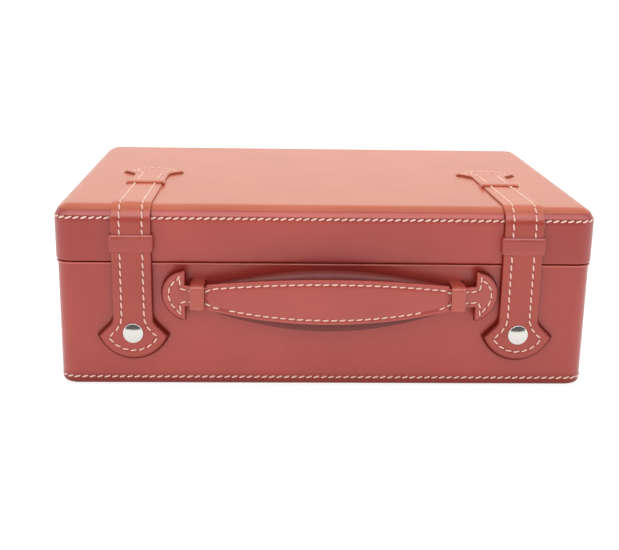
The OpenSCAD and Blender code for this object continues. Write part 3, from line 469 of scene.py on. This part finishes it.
def flare_edge():
    """Right edge of a flared end as (half width, distance past the start of the flare): a hollow arc, a
    straight run at a tangent to the tip, and a shallow arc to the middle of the end."""
    half = strap_w / 2
    reach = np.hypot(flare_half - half - flare_r, flare_tip)
    swing = np.arctan2(flare_tip, half + flare_r - flare_half) - np.arccos(flare_r / reach)
    turn = np.linspace(0, swing, 16)
    hollow = np.stack([half + flare_r - flare_r * np.cos(turn), flare_r * np.sin(turn)], -1)
    t = np.linspace(0, 1, 14)[1:, None]
    straight = hollow[-1] * (1 - t) + np.array([flare_half, flare_tip]) * t
    end_r = (flare_half ** 2 + (flare_l - flare_tip) ** 2) / (2 * (flare_l - flare_tip))
    sweep = np.linspace(np.arcsin(flare_half / end_r), 0, 30)[1:]
    end = np.stack([end_r * np.sin(sweep), flare_l - end_r + end_r * np.cos(sweep)], -1)
    return np.concatenate([hollow, straight, end])


def flap(name, outline, spine, place, thick, round_r, sewn, material, ledge, lift):
    """A closed leather flap from its outline. Rings step in from the edge towards the spine, first by set
    distances and then by shares. Height depends on the true distance d to the edge: a quarter circle of
    radius round_r, then flat, less a groove where the seam is sewn, plus a soft crown of height lift inside
    it. The lower ply is coloured dark and stands out by the ledge, given for each point: painted contact
    shadow round the edge, with a dark cut edge. Where the ledge is wide the upper edge is darkened too, and
    the groove a little: painted shade."""
    groove_deep, groove_w, crown_in, crown_w, sole = 0.30 * MM, 0.7 * MM, 0.8 * MM, 3 * MM, 0.03 * MM
    steps = np.array([0, 0.15, 0.5, 1.0, 1.6, 2.2, 2.8, 3.4, 4.0, 4.6, 5.2, 5.8]) * MM
    steps = steps[steps < np.max(sewn) + 1.4 * MM]
    gap = spine - outline
    far = np.linalg.norm(gap, axis=1, keepdims=True)
    inward = gap / np.maximum(far, 1e-9)
    rings = outline + np.minimum(steps[:, None, None], 0.85 * far) * inward
    share = np.linspace(0, 1, 6)[1:, None, None]
    rings = np.concatenate([rings, rings[-1:] + (spine - rings[-1:]) * share])
    d = edge_distance(rings.reshape(-1, 2), outline).reshape(rings.shape[:2])
    rounding = round_r - np.sqrt(np.maximum(round_r ** 2 - np.maximum(round_r - d, 0) ** 2, 0))
    groove = groove_deep * np.exp(-((d - sewn) / groove_w) ** 2)
    crown = lift * np.clip((d - sewn - crown_in) / crown_w, 0, 1) ** 0.7
    top = place(rings, thick - rounding - groove + crown)
    bottom = place(rings[1:], sole + np.maximum(0.5 * MM - d[1:], 0) * 0.8)
    foot = outline - inward * ledge[:, None]
    side_h = thick - round_r
    wall_h = np.array([sole, 0.3 * side_h, 0.45 * side_h, 0.8 * side_h])
    wall = place(np.stack([foot, foot, outline, outline]), wall_h[:, None] * np.ones(len(outline)))
    # Painted shade, kept per point for the leather: in the seam's groove, on the top's outer rim, on the
    # walls, ledge and lower ply, and round the edge where the ledge is wide.
    seam_shade = 0.45 * np.exp(-((d - sewn) / (0.6 * MM)) ** 2)
    edge_contour_shade = 0.95 * np.clip(ledge / MM - 0.3, 0, 0.6) / 0.6 * np.exp(-(d / (0.9 * MM)) ** 2)
    top_shade = np.maximum(np.maximum(seam_shade, edge_contour_shade), 0.25 * (d < 0.1 * MM))
    wall_shade = np.array([[1.0], [1.0], [1.0], [0.5]]) * np.ones(len(outline))
    painted_shade = np.concatenate([np.ones(bottom.shape[:2]), wall_shade, top_shade])
    piece = ring_piece(name, np.concatenate([bottom[::-1], wall, top]), material)
    piece.data.attributes.new("painted_edge_shade", "FLOAT", "POINT").data.foreach_set("value", painted_shade.ravel())
    weld(piece)
    return piece


def edge_distance(points, outline):
    """Distance of each point to a closed outline: the least over all its straight pieces."""
    piece = np.roll(outline, -1, axis=0) - outline
    squared = np.maximum(np.sum(piece ** 2, axis=1), 1e-18)
    best = np.full(len(points), np.inf)
    for part in np.array_split(np.arange(len(points)), max(len(points) // 2000, 1)):
        away = points[part, None] - outline
        t = np.clip(np.sum(away * piece, axis=2) / squared, 0, 1)
        best[part] = np.min(np.linalg.norm(away - t[..., None] * piece, axis=2), axis=1)
    return best


def weld(piece):
    """Joins the points that meet along a spine or at a pole, and turns all faces outwards."""
    work = bmesh.new()
    work.from_mesh(piece.data)
    bmesh.ops.remove_doubles(work, verts=work.verts, dist=2e-6)
    bmesh.ops.dissolve_degenerate(work, edges=work.edges, dist=1e-7)
    bmesh.ops.recalc_face_normals(work, faces=work.faces)
    work.to_mesh(piece.data)
    work.free()
    piece.data.update()


def seam_line(outline, inset):
    """The outline moved inwards by the inset: each point goes along its inward normal, and points that end up
    nearer to the edge than that, past a sharp corner, are dropped."""
    inset = np.broadcast_to(inset, len(outline))
    following = np.roll(outline, -1, axis=0)
    area = np.sum(outline[:, 0] * following[:, 1] - following[:, 0] * outline[:, 1])
    line = outline - np.sign(area) * right_of(outline) * inset[:, None]
    return line[edge_distance(line, outline) > inset * 0.985]


def sewn_row(name, flat, step, place, thick, width, rise, slant):
    """A stitch row in the groove of a flap, at flat places and in the flat directions step."""
    row_deep, half_step, stitch_l = 0.22 * MM, 0.2 * MM, 4.3 * MM
    step = unit(step) * half_step
    level_h = np.full(len(flat), thick - row_deep)
    at = place(flat, level_h)
    along = place(flat + step, level_h) - place(flat - step, level_h)
    out = place(flat, level_h + 0.1 * MM) - at
    return stitches(name, at, along, out, stitch_l, width, rise, slant)


def strap_thickness(angle):
    """Thickness over the rounded edge, by the angle from upright: to the flat top up to its end, then to a
    circle that meets the thin top and the thick front at a tangent. Its centre is forward by the difference
    of the two."""
    r, forward = top_edge_r + strap_top_t, strap_t - strap_top_t
    circle = forward * np.sin(angle) + np.sqrt(r ** 2 - (forward * np.cos(angle)) ** 2)
    flat = r / np.maximum(np.cos(angle), 0.5)
    return np.where(np.tan(np.minimum(angle, 1.5)) * r < forward, flat, circle) - top_edge_r


def strap_place(side):
    """Lays (across, along, height) on the lid: flat on top, round the edge, and down the front. Along is zero
    where the bend starts, and grows down the front. Heights shrink with the strap's thickness, and all of it
    rides over the lap in the middle of the bend. Below the keeper the strap stands 0.3 mm off the lid. On top
    it leans a little to the middle and narrows by a few hundredths."""
    lap_rise, lap_w, loose_gap, loose_from, loose_run = 0.65 * MM, 1.3 * MM, 0.3 * MM, 5 * MM, 11 * MM

    def place(flat, height):
        """The point in space for each flat place and height."""
        across, s = flat[..., 0], flat[..., 1]
        angle = np.clip(s, 0, bend_l) / bend_mid
        lap = lap_rise * np.exp(-((s - bend_l / 2) / lap_w) ** 2)
        h = np.maximum(height * strap_thickness(angle) / strap_t, lap)
        drop = np.maximum(s - bend_l, 0)
        behind = np.maximum(-s, 0)
        loose = loose_gap * np.clip((drop - loose_from) / loose_run, 0, 1)
        across = across * (1 - rear_taper * np.minimum(behind, keeper_behind) / keeper_behind)
        x = side * (strap_x - lean[side] * behind) + front_shift + across
        y = bend_y - np.sin(angle) * (top_edge_r + h) + behind - loose
        z = bend_z + np.cos(angle) * (top_edge_r + h) - drop
        return np.stack([x, y, z], -1)
    return place


rear_start = bend_y - back_flare_y
front_start = bend_l + bend_z - (tail_low + flare_l)
flare = flare_edge()
straight = np.linspace(rear_start, front_start, 150)[1:-1]
strap_side = np.concatenate([np.column_stack([flare[::-1, 0], rear_start - flare[::-1, 1]]),
                             np.column_stack([np.full(len(straight), strap_w / 2), straight]),
                             np.column_stack([flare[:, 0], front_start + flare[:, 1]])])
strap_outline = np.concatenate([strap_side, (strap_side * [-1, 1])[-2:0:-1]])
spine_in = 9 * MM
spine_low, spine_high = rear_start - flare_l + spine_in, front_start + flare_l - spine_in
outline_s = strap_outline[:, 1]
strap_spine = np.column_stack([np.zeros(len(outline_s)), np.clip(outline_s, spine_low, spine_high)])
in_flare = np.maximum(outline_s - front_start, rear_start - outline_s)
# A dark ledge, wide at the flares and narrow along the sides: painted contact shadow round the strap.
strap_ledge = (0.2 + 0.9 * np.clip(in_flare / (5 * MM), 0, 1)) * MM
# The strap's leather carries painted shade from its attribute and turns lighter and more orange on top of the
# lid, painted light.
strap_leather = leather("satin_hide_straps", "A83828", "9E3022", roughness=0.38, edge_shaded=True,
                        painted_top_light="C4664A")
stitch_at, stitch_step = spaced(seam_line(strap_outline, strap_sewn), 4.9 * MM)
on_top = stitch_at[:, 1] < 0

for side, hand in ((-1, "left"), (1, "right")):
    place = strap_place(side)
    strap = flap("strap_leather_" + hand, strap_outline, strap_spine, place, strap_t, 1.0 * MM, strap_sewn,
                 strap_leather, strap_ledge, lift=0.25 * MM)
    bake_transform(strap)
    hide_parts("strap_" + hand, "tail_" + hand)
    row = sewn_row("strap_stitches_" + hand, stitch_at, stitch_step, place, strap_t,
                   width=np.where(on_top, 1.35, 1.02) * MM, rise=np.where(on_top, 0.60, 0.38) * MM,
                   slant=np.radians(8))
    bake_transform(row)

# ---- Keepers and handle loops --------------------------------------------------------------------
# Short bands of the same hide, bent over the strap and fixed at both feet. A creased line runs along both
# edges, pressed with a hot tool, and the corners of the bend are rounded.
keeper_l, keeper_t, keeper_bend_r, keeper_play = 10.3 * MM, 1.3 * MM, 0.9 * MM, 0.1 * MM
keeper_half = strap_w / 2 + keeper_play + keeper_t / 2
keeper_z, keeper_top_y = 84.2 * MM + keeper_l / 2, -lid_d / 2 + 61.5 * MM + keeper_l / 2
base_front_y, handle_z = base_low.y, 59.4 * MM
loop_x, loop_w, loop_h, loop_t, loop_bend_r = 76.3 * MM, 8.3 * MM, 15.6 * MM, 1.1 * MM, 2.2 * MM
loop_out = base_front_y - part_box("handle_loop_left")[0].y


def band(name, corners, bend_r, length, thick, place, material):
    """A leather band with a rounded cross-section and a crease near each edge, carried along a path of
    straight runs and arcs. corners are the path's turning points in the plane; place puts (u, v, along the
    width) in space. The profile is a rectangle, length wide and thick high, with pared outer edges and
    rounded corners."""
    line = rounded_path(np.array(corners, float), bend_r)
    run = unit(np.gradient(line, axis=0))
    normal = np.column_stack([-run[:, 1], run[:, 0]])
    half, r, pared, pared_w = length / 2, 0.28 * thick, 0.36 * thick, 1.2 * MM
    crease_in, crease_deep, crease_w = 1.5 * MM, 0.22 * MM, 0.3 * MM
    turn = np.linspace(np.pi / 2, -np.pi / 2, 8)
    over, under = np.linspace(-half + r, half - r, 33), np.linspace(half - r, -half + r, 6)
    w = np.concatenate([over, half - r + r * np.cos(turn), under, -half + r - r * np.cos(turn)])
    fall = pared * np.clip((np.abs(over) - (half - pared_w)) / (pared_w - r), 0, 1)
    crease = crease_deep * np.exp(-((np.abs(over) - (half - crease_in)) / crease_w) ** 2)
    edge = np.where(turn > 0, thick / 2 - pared - r, r - thick / 2) + r * np.sin(turn)
    h = np.concatenate([thick / 2 - fall - crease, edge, np.full(len(under), -thick / 2), edge[::-1]])
    flat = line[:, None] + h[None, :, None] * normal[:, None]
    grid = place(flat[..., 0], flat[..., 1], np.broadcast_to(w, flat.shape[:2]))
    piece = ring_piece(name, grid, material, capped=True)
    weld(piece)
    return piece


def rounded_path(corners, r):
    """A line through the corners with each inner one replaced by an arc of radius r."""
    parts = [corners[:1]]
    for before, corner, after in zip(corners[:-2], corners[1:-1], corners[2:]):
        back, on = unit(np.array([before - corner, after - corner]))
        half = np.arccos(np.clip(back @ on, -1, 1)) / 2
        middle = corner + (back + on) / np.linalg.norm(back + on) * r / np.sin(half)
        t = np.linspace(0, 1, 10)[:, None]
        reach = r / np.tan(half)
        chord = (corner + back * reach) * (1 - t) + (corner + on * reach) * t
        parts.append(middle + unit(chord - middle) * r)
    parts.append(corners[-1:])
    line = np.concatenate(parts)
    run = arc_length(line)
    s = np.unique(np.concatenate([run, np.linspace(0, run[-1], 60)]))
    return np.stack([np.interp(s, run, line[:, k]) for k in range(2)], -1)


def bridge(thick):
    """Turning points of a keeper's middle line over a strap of the given thickness."""
    rise = thick + keeper_play + keeper_t / 2
    return [(-keeper_half, 0), (-keeper_half, rise), (keeper_half, rise), (keeper_half, 0)]


# On top of the lid the keepers' leather turns lighter and more orange: painted light.
keeper_leather = leather("satin_hide_keepers", "A83C30", "9E352A", roughness=0.36, painted_top_light="C4664A")
for side, hand in ((-1, "left"), (1, "right")):
    middle = side * strap_x + front_shift
    front = band("keeper_front_band_" + hand, bridge(strap_t), keeper_bend_r, keeper_l, keeper_t,
                 lambda u, v, w: np.stack([middle + u, front_y - v, keeper_z + w], -1), keeper_leather)
    middle -= side * lean[side] * keeper_behind
    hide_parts("front_keeper_" + hand)
    top = band("keeper_top_band_" + hand, bridge(strap_top_t), keeper_bend_r, keeper_l, keeper_t,
               lambda u, v, w: np.stack([middle + u * (1 - rear_taper), keeper_top_y + w, lid_top + v], -1),
               keeper_leather)
    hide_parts("top_keeper_" + hand)
    for piece in (front, top):
        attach(piece, "lid")

loop_leather = leather("satin_hide_loops", "B44C3C", "AA4434", roughness=0.34)
loop_half, loop_over, loop_foot = (loop_h - loop_t) / 2, loop_out - loop_t / 2, -3.9 * MM
loop_path = [(-loop_half, loop_foot), (-loop_half, loop_over), (loop_half, loop_over), (loop_half, loop_foot)]
for side, hand in ((-1, "left"), (1, "right")):
    middle = side * loop_x + front_shift
    loop = band("handle_loop_band_" + hand, loop_path, loop_bend_r, loop_w, loop_t,
                lambda u, v, w: np.stack([middle + w, base_front_y - v, handle_z + u], -1), loop_leather)
    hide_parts("handle_loop_" + hand)
    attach(loop, "base")

# ---- Handle --------------------------------------------------------------------------------------
# A long strap of two plies, bent to a bow and sewn 2.75 mm in, and 4.35 mm at its ends, wide where the hand
# holds it. Its necks run through the loops and its half-moon ends stop it. A stuffed leather core is glued
# behind the wide part.
handle_out, end_out, handle_t = 22 * MM, 4.7 * MM, 2.8 * MM
grip_h, grip_end_h, grip_half, neck_h = 27 * MM, 15.2 * MM, 71.25 * MM, 12.3 * MM
moon_x, moon_r, moon_l, end_shift = 85.9 * MM, 15 * MM, 13.9 * MM, 2 * MM
core_half, core_t, core_end_t, glue_gap = 69.55 * MM, 10 * MM, 4 * MM, 0.3 * MM
core_up, core_end_up, core_down, core_end_down = 17 * MM, 6.5 * MM, 19.7 * MM, 9 * MM
bow_r = ((moon_x + moon_l) ** 2 + (handle_out - end_out) ** 2) / (2 * (handle_out - end_out))
bow_y = base_front_y - handle_out + bow_r


def bow_place(flat, height):
    """Lays (along, up, height) on the bow: a cylinder round an upright axis behind the box's front."""
    angle = np.arcsin(flat[..., 0] / bow_r)
    r = bow_r - handle_t + height
    return np.stack([front_shift + r * np.sin(angle), bow_y - r * np.cos(angle), handle_z + flat[..., 1]], -1)


def half_edge(flat_x):
    """Upper edge of the handle strap from one end to its middle, and the spine under it: a half-moon with its
    flat side at flat_x, neck, shoulder and a long shallow arc, each a circle or a straight line."""
    arc_r = (grip_half ** 2 + ((grip_h - grip_end_h) / 2) ** 2) / (grip_h - grip_end_h)
    centre = flat_x + moon_l - moon_r
    half_flat = np.sqrt(moon_r ** 2 - (flat_x - centre) ** 2)
    turn = np.linspace(0, np.arccos((flat_x - centre) / moon_r), 30)
    moon = np.stack([-centre - moon_r * np.cos(turn), moon_r * np.sin(turn)], -1)
    side = np.stack([np.full(10, -flat_x), np.linspace(half_flat, neck_h / 2, 11)[1:]], -1)
    neck = np.stack([np.linspace(-flat_x, -grip_half, 16)[1:], np.full(15, neck_h / 2)], -1)
    x = np.linspace(-grip_half, 0, 50)[:-1]
    wide = np.stack([x, grip_h / 2 - arc_r + np.sqrt(arc_r ** 2 - x ** 2)], -1)
    spine = np.concatenate([np.full(30, -flat_x - 6 * MM),
                            np.linspace(-flat_x - 6 * MM, -flat_x - 4 * MM, 10),
                            np.linspace(-flat_x - 3.5 * MM, -grip_half, 15), x])
    return np.concatenate([moon, side, neck, wide]), spine


left_edge, left_spine = half_edge(moon_x - end_shift)
right_edge, right_spine = half_edge(moon_x + end_shift)
upper_edge = np.concatenate([left_edge, [[0, grip_h / 2]], (right_edge * [-1, 1])[::-1]])
upper_spine = np.concatenate([left_spine, [0], -right_spine[::-1]])
handle_outline = np.concatenate([upper_edge, (upper_edge * [1, -1])[-2:0:-1]])
spine_x = np.concatenate([upper_spine, upper_spine[-2:0:-1]])
handle_spine = np.column_stack([spine_x, np.zeros(len(spine_x))])
end_side = np.sign(handle_outline[:, 0])
in_moon = end_side * handle_outline[:, 0] - (moon_x + end_side * end_shift)
handle_sewn = (2.75 + 1.6 * np.clip(in_moon / (8 * MM), 0, 1)) * MM
# A dark ledge of up to 1 mm round the half-moons: painted contact shadow; the handle's leather carries this
# painted shade from its attribute.
handle_ledge = np.clip((in_moon - 0.3 * MM) / (1.0 * MM), 0, 1) * MM
handle_crown = 0.2 * MM * np.clip((grip_half - abs(handle_outline[:, 0])) / (5 * MM), 0, 1)
handle_leather = leather("satin_hide_handle", "AE4236", "A43A2F", roughness=0.42, edge_shaded=True)
handle = flap("handle_strap_leather", handle_outline, handle_spine, bow_place, handle_t, 0.8 * MM,
              handle_sewn, handle_leather, handle_ledge, lift=handle_crown)
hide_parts("handle_strap")
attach(handle, "handle")

# The lower row of stitches has two gaps, from and to these places along it in millimetres.
row_gaps = ((-61.5, -56), (56, 66.5))
stitch_at, stitch_step = spaced(seam_line(handle_outline, handle_sewn), 4.95 * MM)
x, z = stitch_at.T / MM
kept = (z >= -4) | ~np.any([(x > start) & (x < end) for start, end in row_gaps], axis=0)
row = sewn_row("handle_stitches", stitch_at[kept], stitch_step[kept], bow_place, handle_t,
               width=1.02 * MM, rise=0.36 * MM, slant=np.radians(6))
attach(row, "handle")


def core_surface():
    """Stuffed core behind the strap. Along it, its reach up and down and its depth swell as the 0.9th power
    of a cosine; across it the section is a rounded oval, cos and sin each to the power 0.62. Its front
    follows the bow of the strap."""
    along = np.linspace(-1, 1, 61)
    swell = np.maximum(np.cos(np.pi / 2 * along), 0) ** 0.9
    swell[[0, -1]] = 0
    turn = np.linspace(0, 2 * np.pi, 33)[:-1]
    up = core_end_up + (core_up - core_end_up) * swell
    down = core_end_down + (core_down - core_end_down) * swell
    depth = core_end_t + (core_t - core_end_t) * swell
    x = core_half * along
    front = handle_out - bow_r + np.sqrt(bow_r ** 2 - x ** 2) - handle_t - glue_gap
    soft = lambda c: np.sign(c) * np.abs(c) ** 0.62
    y = base_front_y - front[:, None] + depth[:, None] / 2 * (1 - soft(np.cos(turn)))
    z = handle_z + np.where(np.sin(turn) > 0, up[:, None], down[:, None]) * soft(np.sin(turn))
    return np.stack([front_shift + np.broadcast_to(x[:, None], y.shape), y, z], -1)


# The core's hide is coloured much darker than the handle's: painted shade behind and under the grip.
core_leather = leather("satin_hide_core", "6E241E", "621E18", roughness=0.5, coat=0.0)
core = ring_piece("handle_core_leather", core_surface(), core_leather, capped=True)
weld(core)
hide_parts("handle_core")
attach(core, "handle")

# ---- Metal fittings ------------------------------------------------------------------------------
# Pressed and polished nickel plated snaps, their caps shallow domes with a rolled rim; drawn and tumbled
# brass hinges and screws, lacquered.
dome_rise, rim_r, cap_h = 1.0 * MM, 0.35 * MM, 2.1 * MM


def metal(name, colour, roughness, grit):
    """Plated or lacquered metal with a very fine polish pattern of the given grit size."""
    material, tree = new_material(name)
    where = add(tree, "TexCoord").outputs["Object"]
    polish = add(tree, "TexNoise", {"Vector": where, "Scale": 1 / grit, "Detail": 2.0})
    rough = add(tree, "MapRange", {"Value": polish.outputs[0], "To Min": roughness * 0.7,
                                   "To Max": roughness * 1.3})
    plate = add(tree, "BsdfPrincipled", {"Base Color": srgb(colour), "Metallic": 1.0,
                                         "Roughness": rough.outputs[0]})
    add(tree, "OutputMaterial", {"Surface": plate.outputs[0]})
    return material


def snap_dome(low, high):
    """A cap as rings round its axis: it falls back as the square of the radius to the rim, which turns back
    in a quarter circle; then a straight side and a flat back."""
    cap_r = (high.x - low.x) / 2
    share = np.linspace(0, 1, 12)
    bend = np.linspace(0, np.pi / 2, 6)[1:]
    radius = np.concatenate([share * (cap_r - rim_r), cap_r - rim_r * (1 - np.sin(bend)), [cap_r, 0]])
    depth = np.concatenate([dome_rise * share ** 2, dome_rise + rim_r * (1 - np.cos(bend)), [cap_h, cap_h]])
    turn = np.arange(64) * np.pi / 32
    return np.stack([(low.x + high.x) / 2 + radius[:, None] * np.cos(turn),
                     low.y + depth[:, None] * np.ones(len(turn)),
                     (low.z + high.z) / 2 + radius[:, None] * np.sin(turn)], -1)


nickel = metal("polished_nickel_plate", "D9D7D2", 0.12, 0.0008)
yellow_brass = metal("lacquered_brass", "C9A24B", 0.25, 0.0006)
for hand in ("left", "right"):
    dome = ring_piece("snap_dome_" + hand, snap_dome(*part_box("snap_cap_" + hand)), nickel)
    weld(dome)
    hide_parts("snap_cap_" + hand)
    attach(dome, "tail_" + hand)
    for name in ("snap_socket_", "snap_stud_"):
        dress(name + hand, nickel)
    for name in ("base_leaf_", "lid_leaf_", "hinge_pin_"):
        dress(name + hand, yellow_brass)
dress("base_hinge_screws", yellow_brass)
dress("lid_hinge_screws", yellow_brass)

# ---- Wood ----------------------------------------------------------------------------------------
# Sanded poplar boards under the leather and the tray, glued at the corners, with straight grain along the
# width. They hardly show when the box is open.


def wood():
    """Straight grained pale board: noise stretched eighteen times along the grain, 3 mm between its lines."""
    material, tree = new_material("sanded_poplar_board")
    where = add(tree, "TexCoord").outputs["Object"]
    stretched = add(tree, "Mapping", {"Vector": where, "Scale": (1 / 18, 1, 1)})
    grain = add(tree, "TexNoise", {"Vector": stretched.outputs[0], "Scale": 1 / 0.003, "Detail": 5.0,
                                   "Distortion": 0.4})
    tone = add(tree, "Mix", {"Factor": grain.outputs[0], "A": srgb("D9BE94"), "B": srgb("B48F62")},
               data_type="RGBA")
    bump = add(tree, "Bump", {"Height": grain.outputs[0], "Strength": 0.2, "Distance": 0.0003})
    board = add(tree, "BsdfPrincipled", {"Base Color": tone.outputs[2], "Roughness": 0.65,
                                         "Normal": bump.outputs[0]})
    add(tree, "OutputMaterial", {"Surface": board.outputs[0]})
    return material


poplar = wood()
for name in ("base_walls", "base_floor", "tray_bearer", "lid_shell"):
    dress(name, poplar)

# ---- Suede linings and tray ----------------------------------------------------------------------
# Short napped suede glued over the tray, its dividers and the inner walls, and under the base. The nap lies
# in soft patches, lighter and darker.


def suede(name, colour, brushed):
    """Napped suede: patches of 12 mm where the nap lies the other way, a fibre bump of 0.5 mm, and sheen."""
    material, tree = new_material(name)
    where = add(tree, "TexCoord").outputs["Object"]
    patches = add(tree, "TexNoise", {"Vector": where, "Scale": 1 / 0.012, "Detail": 4.0, "Distortion": 0.6})
    tone = add(tree, "Mix", {"Factor": patches.outputs[0], "A": srgb(colour), "B": srgb(brushed)},
               data_type="RGBA")
    fibres = add(tree, "TexNoise", {"Vector": where, "Scale": 1 / 0.0005, "Detail": 3.0})
    bump = add(tree, "Bump", {"Height": fibres.outputs[0], "Strength": 0.35, "Distance": 0.0003})
    nap = add(tree, "BsdfPrincipled", {"Base Color": tone.outputs[2], "Roughness": 0.9,
                                       "Normal": bump.outputs[0], "Sheen Weight": 0.5,
                                       "Sheen Roughness": 0.4})
    add(tree, "OutputMaterial", {"Surface": nap.outputs[0]})
    return material


lining_suede = suede("sand_suede", "CDB89A", "BDA684")
for name in ("base_sole", "base_lining", "lid_lining", "tray", "divider_long_1", "divider_long_2",
             "divider_cross_1", "divider_cross_2", "divider_cross_3"):
    dress(name, lining_suede)

# ---- Pads ----------------------------------------------------------------------------------------
# Foam pads under soft suede, with a piped seam round the side: one in each compartment with a hollow for a
# watch, and a flat one glued into the lid.
pad_suede = suede("cream_suede", "E2D3BC", "D4C2A6")


def cushion(name, low, high, height, draw, dip_r, dip, upwards=True):
    """A stuffed pad in the box from low to high: flat underneath, a top crowned by the square root of the
    product of 1 - u^4 and 1 - v^4, sides drawn in between the corners, a piped seam at 0.45 of its height,
    fine folds towards the rim, and a cosine hollow of radius dip_r. It lies on the box's floor with its top
    upwards, or hangs from its ceiling."""
    u = np.linspace(-1, 1, 49)
    uu, vv = np.meshgrid(u, u, indexing="ij")
    x = uu * ((high.x - low.x) / 2 - draw * np.cos(np.pi / 2 * vv))
    y = vv * ((high.y - low.y) / 2 - draw * np.cos(np.pi / 2 * uu))
    r, outward = np.hypot(x, y), np.maximum(abs(uu), abs(vv))
    rim, fold_h, folds = 0.45 * height, 0.25 * MM, 38
    crown = rim + (height - rim) * np.sqrt((1 - uu ** 4) * (1 - vv ** 4))
    hollow = np.where(r < dip_r, dip * (1 + np.cos(np.pi * r / dip_r)) / 2, 0)
    fold = fold_h * np.sin(folds * np.arctan2(vv, uu)) * np.clip(outward * 4 - 3, 0, 1)
    top = np.stack([x, y, crown - hollow + fold * (1 - outward)], -1)
    ids = np.arange(uu.size).reshape(uu.shape)
    top_quads = np.stack([ids[:-1, :-1], ids[1:, :-1], ids[1:, 1:], ids[:-1, 1:]], -1).reshape(-1, 4)
    round_it = lambda grid: np.concatenate([grid[:, 0], grid[-1, 1:], grid[-2::-1, -1], grid[0, -2:0:-1]])
    wall_steps = [(1.008, 0.92), (1.008, 0.84), (0.985, 0.70), (0.99, 0.35), (0.97, 0.0)]
    wall = np.stack([round_it(top) * [grow, grow, share] for grow, share in wall_steps])
    points = np.concatenate([top.reshape(-1, 3), wall.reshape(-1, 3), [[0, 0, 0]]])
    wall_ids = ids.size + np.arange(wall[..., 0].size).reshape(wall.shape[:2])
    last, middle = wall_ids[-1], np.full(wall.shape[1], len(points) - 1)
    points = points * [1, 1, 1 if upwards else -1]
    points += np.array([(low.x + high.x) / 2, (low.y + high.y) / 2, low.z if upwards else high.z])
    piece = mesh_piece(name, points, pad_suede, top_quads, ring_quads(np.vstack([round_it(ids), wall_ids])),
                       np.stack([last, middle, np.roll(last, -1)], -1))
    weld(piece)
    return piece


for k in range(1, 13):
    node = "watch_pad_%d" % k
    low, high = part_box(node)
    pad = cushion("watch_cushion_%d" % k, low, high, high.z - low.z + 0.5 * MM, draw=1.2 * MM, dip_r=25 * MM,
                  dip=3 * MM)
    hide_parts(node)
    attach(pad, "base")

low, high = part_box("lid_pad")
lid_cushion = cushion("lid_cushion", low, high, high.z - low.z, draw=1.5 * MM, dip_r=1 * MM, dip=0,
                      upwards=False)
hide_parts("lid_pad")
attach(lid_cushion, "lid")

low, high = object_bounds()
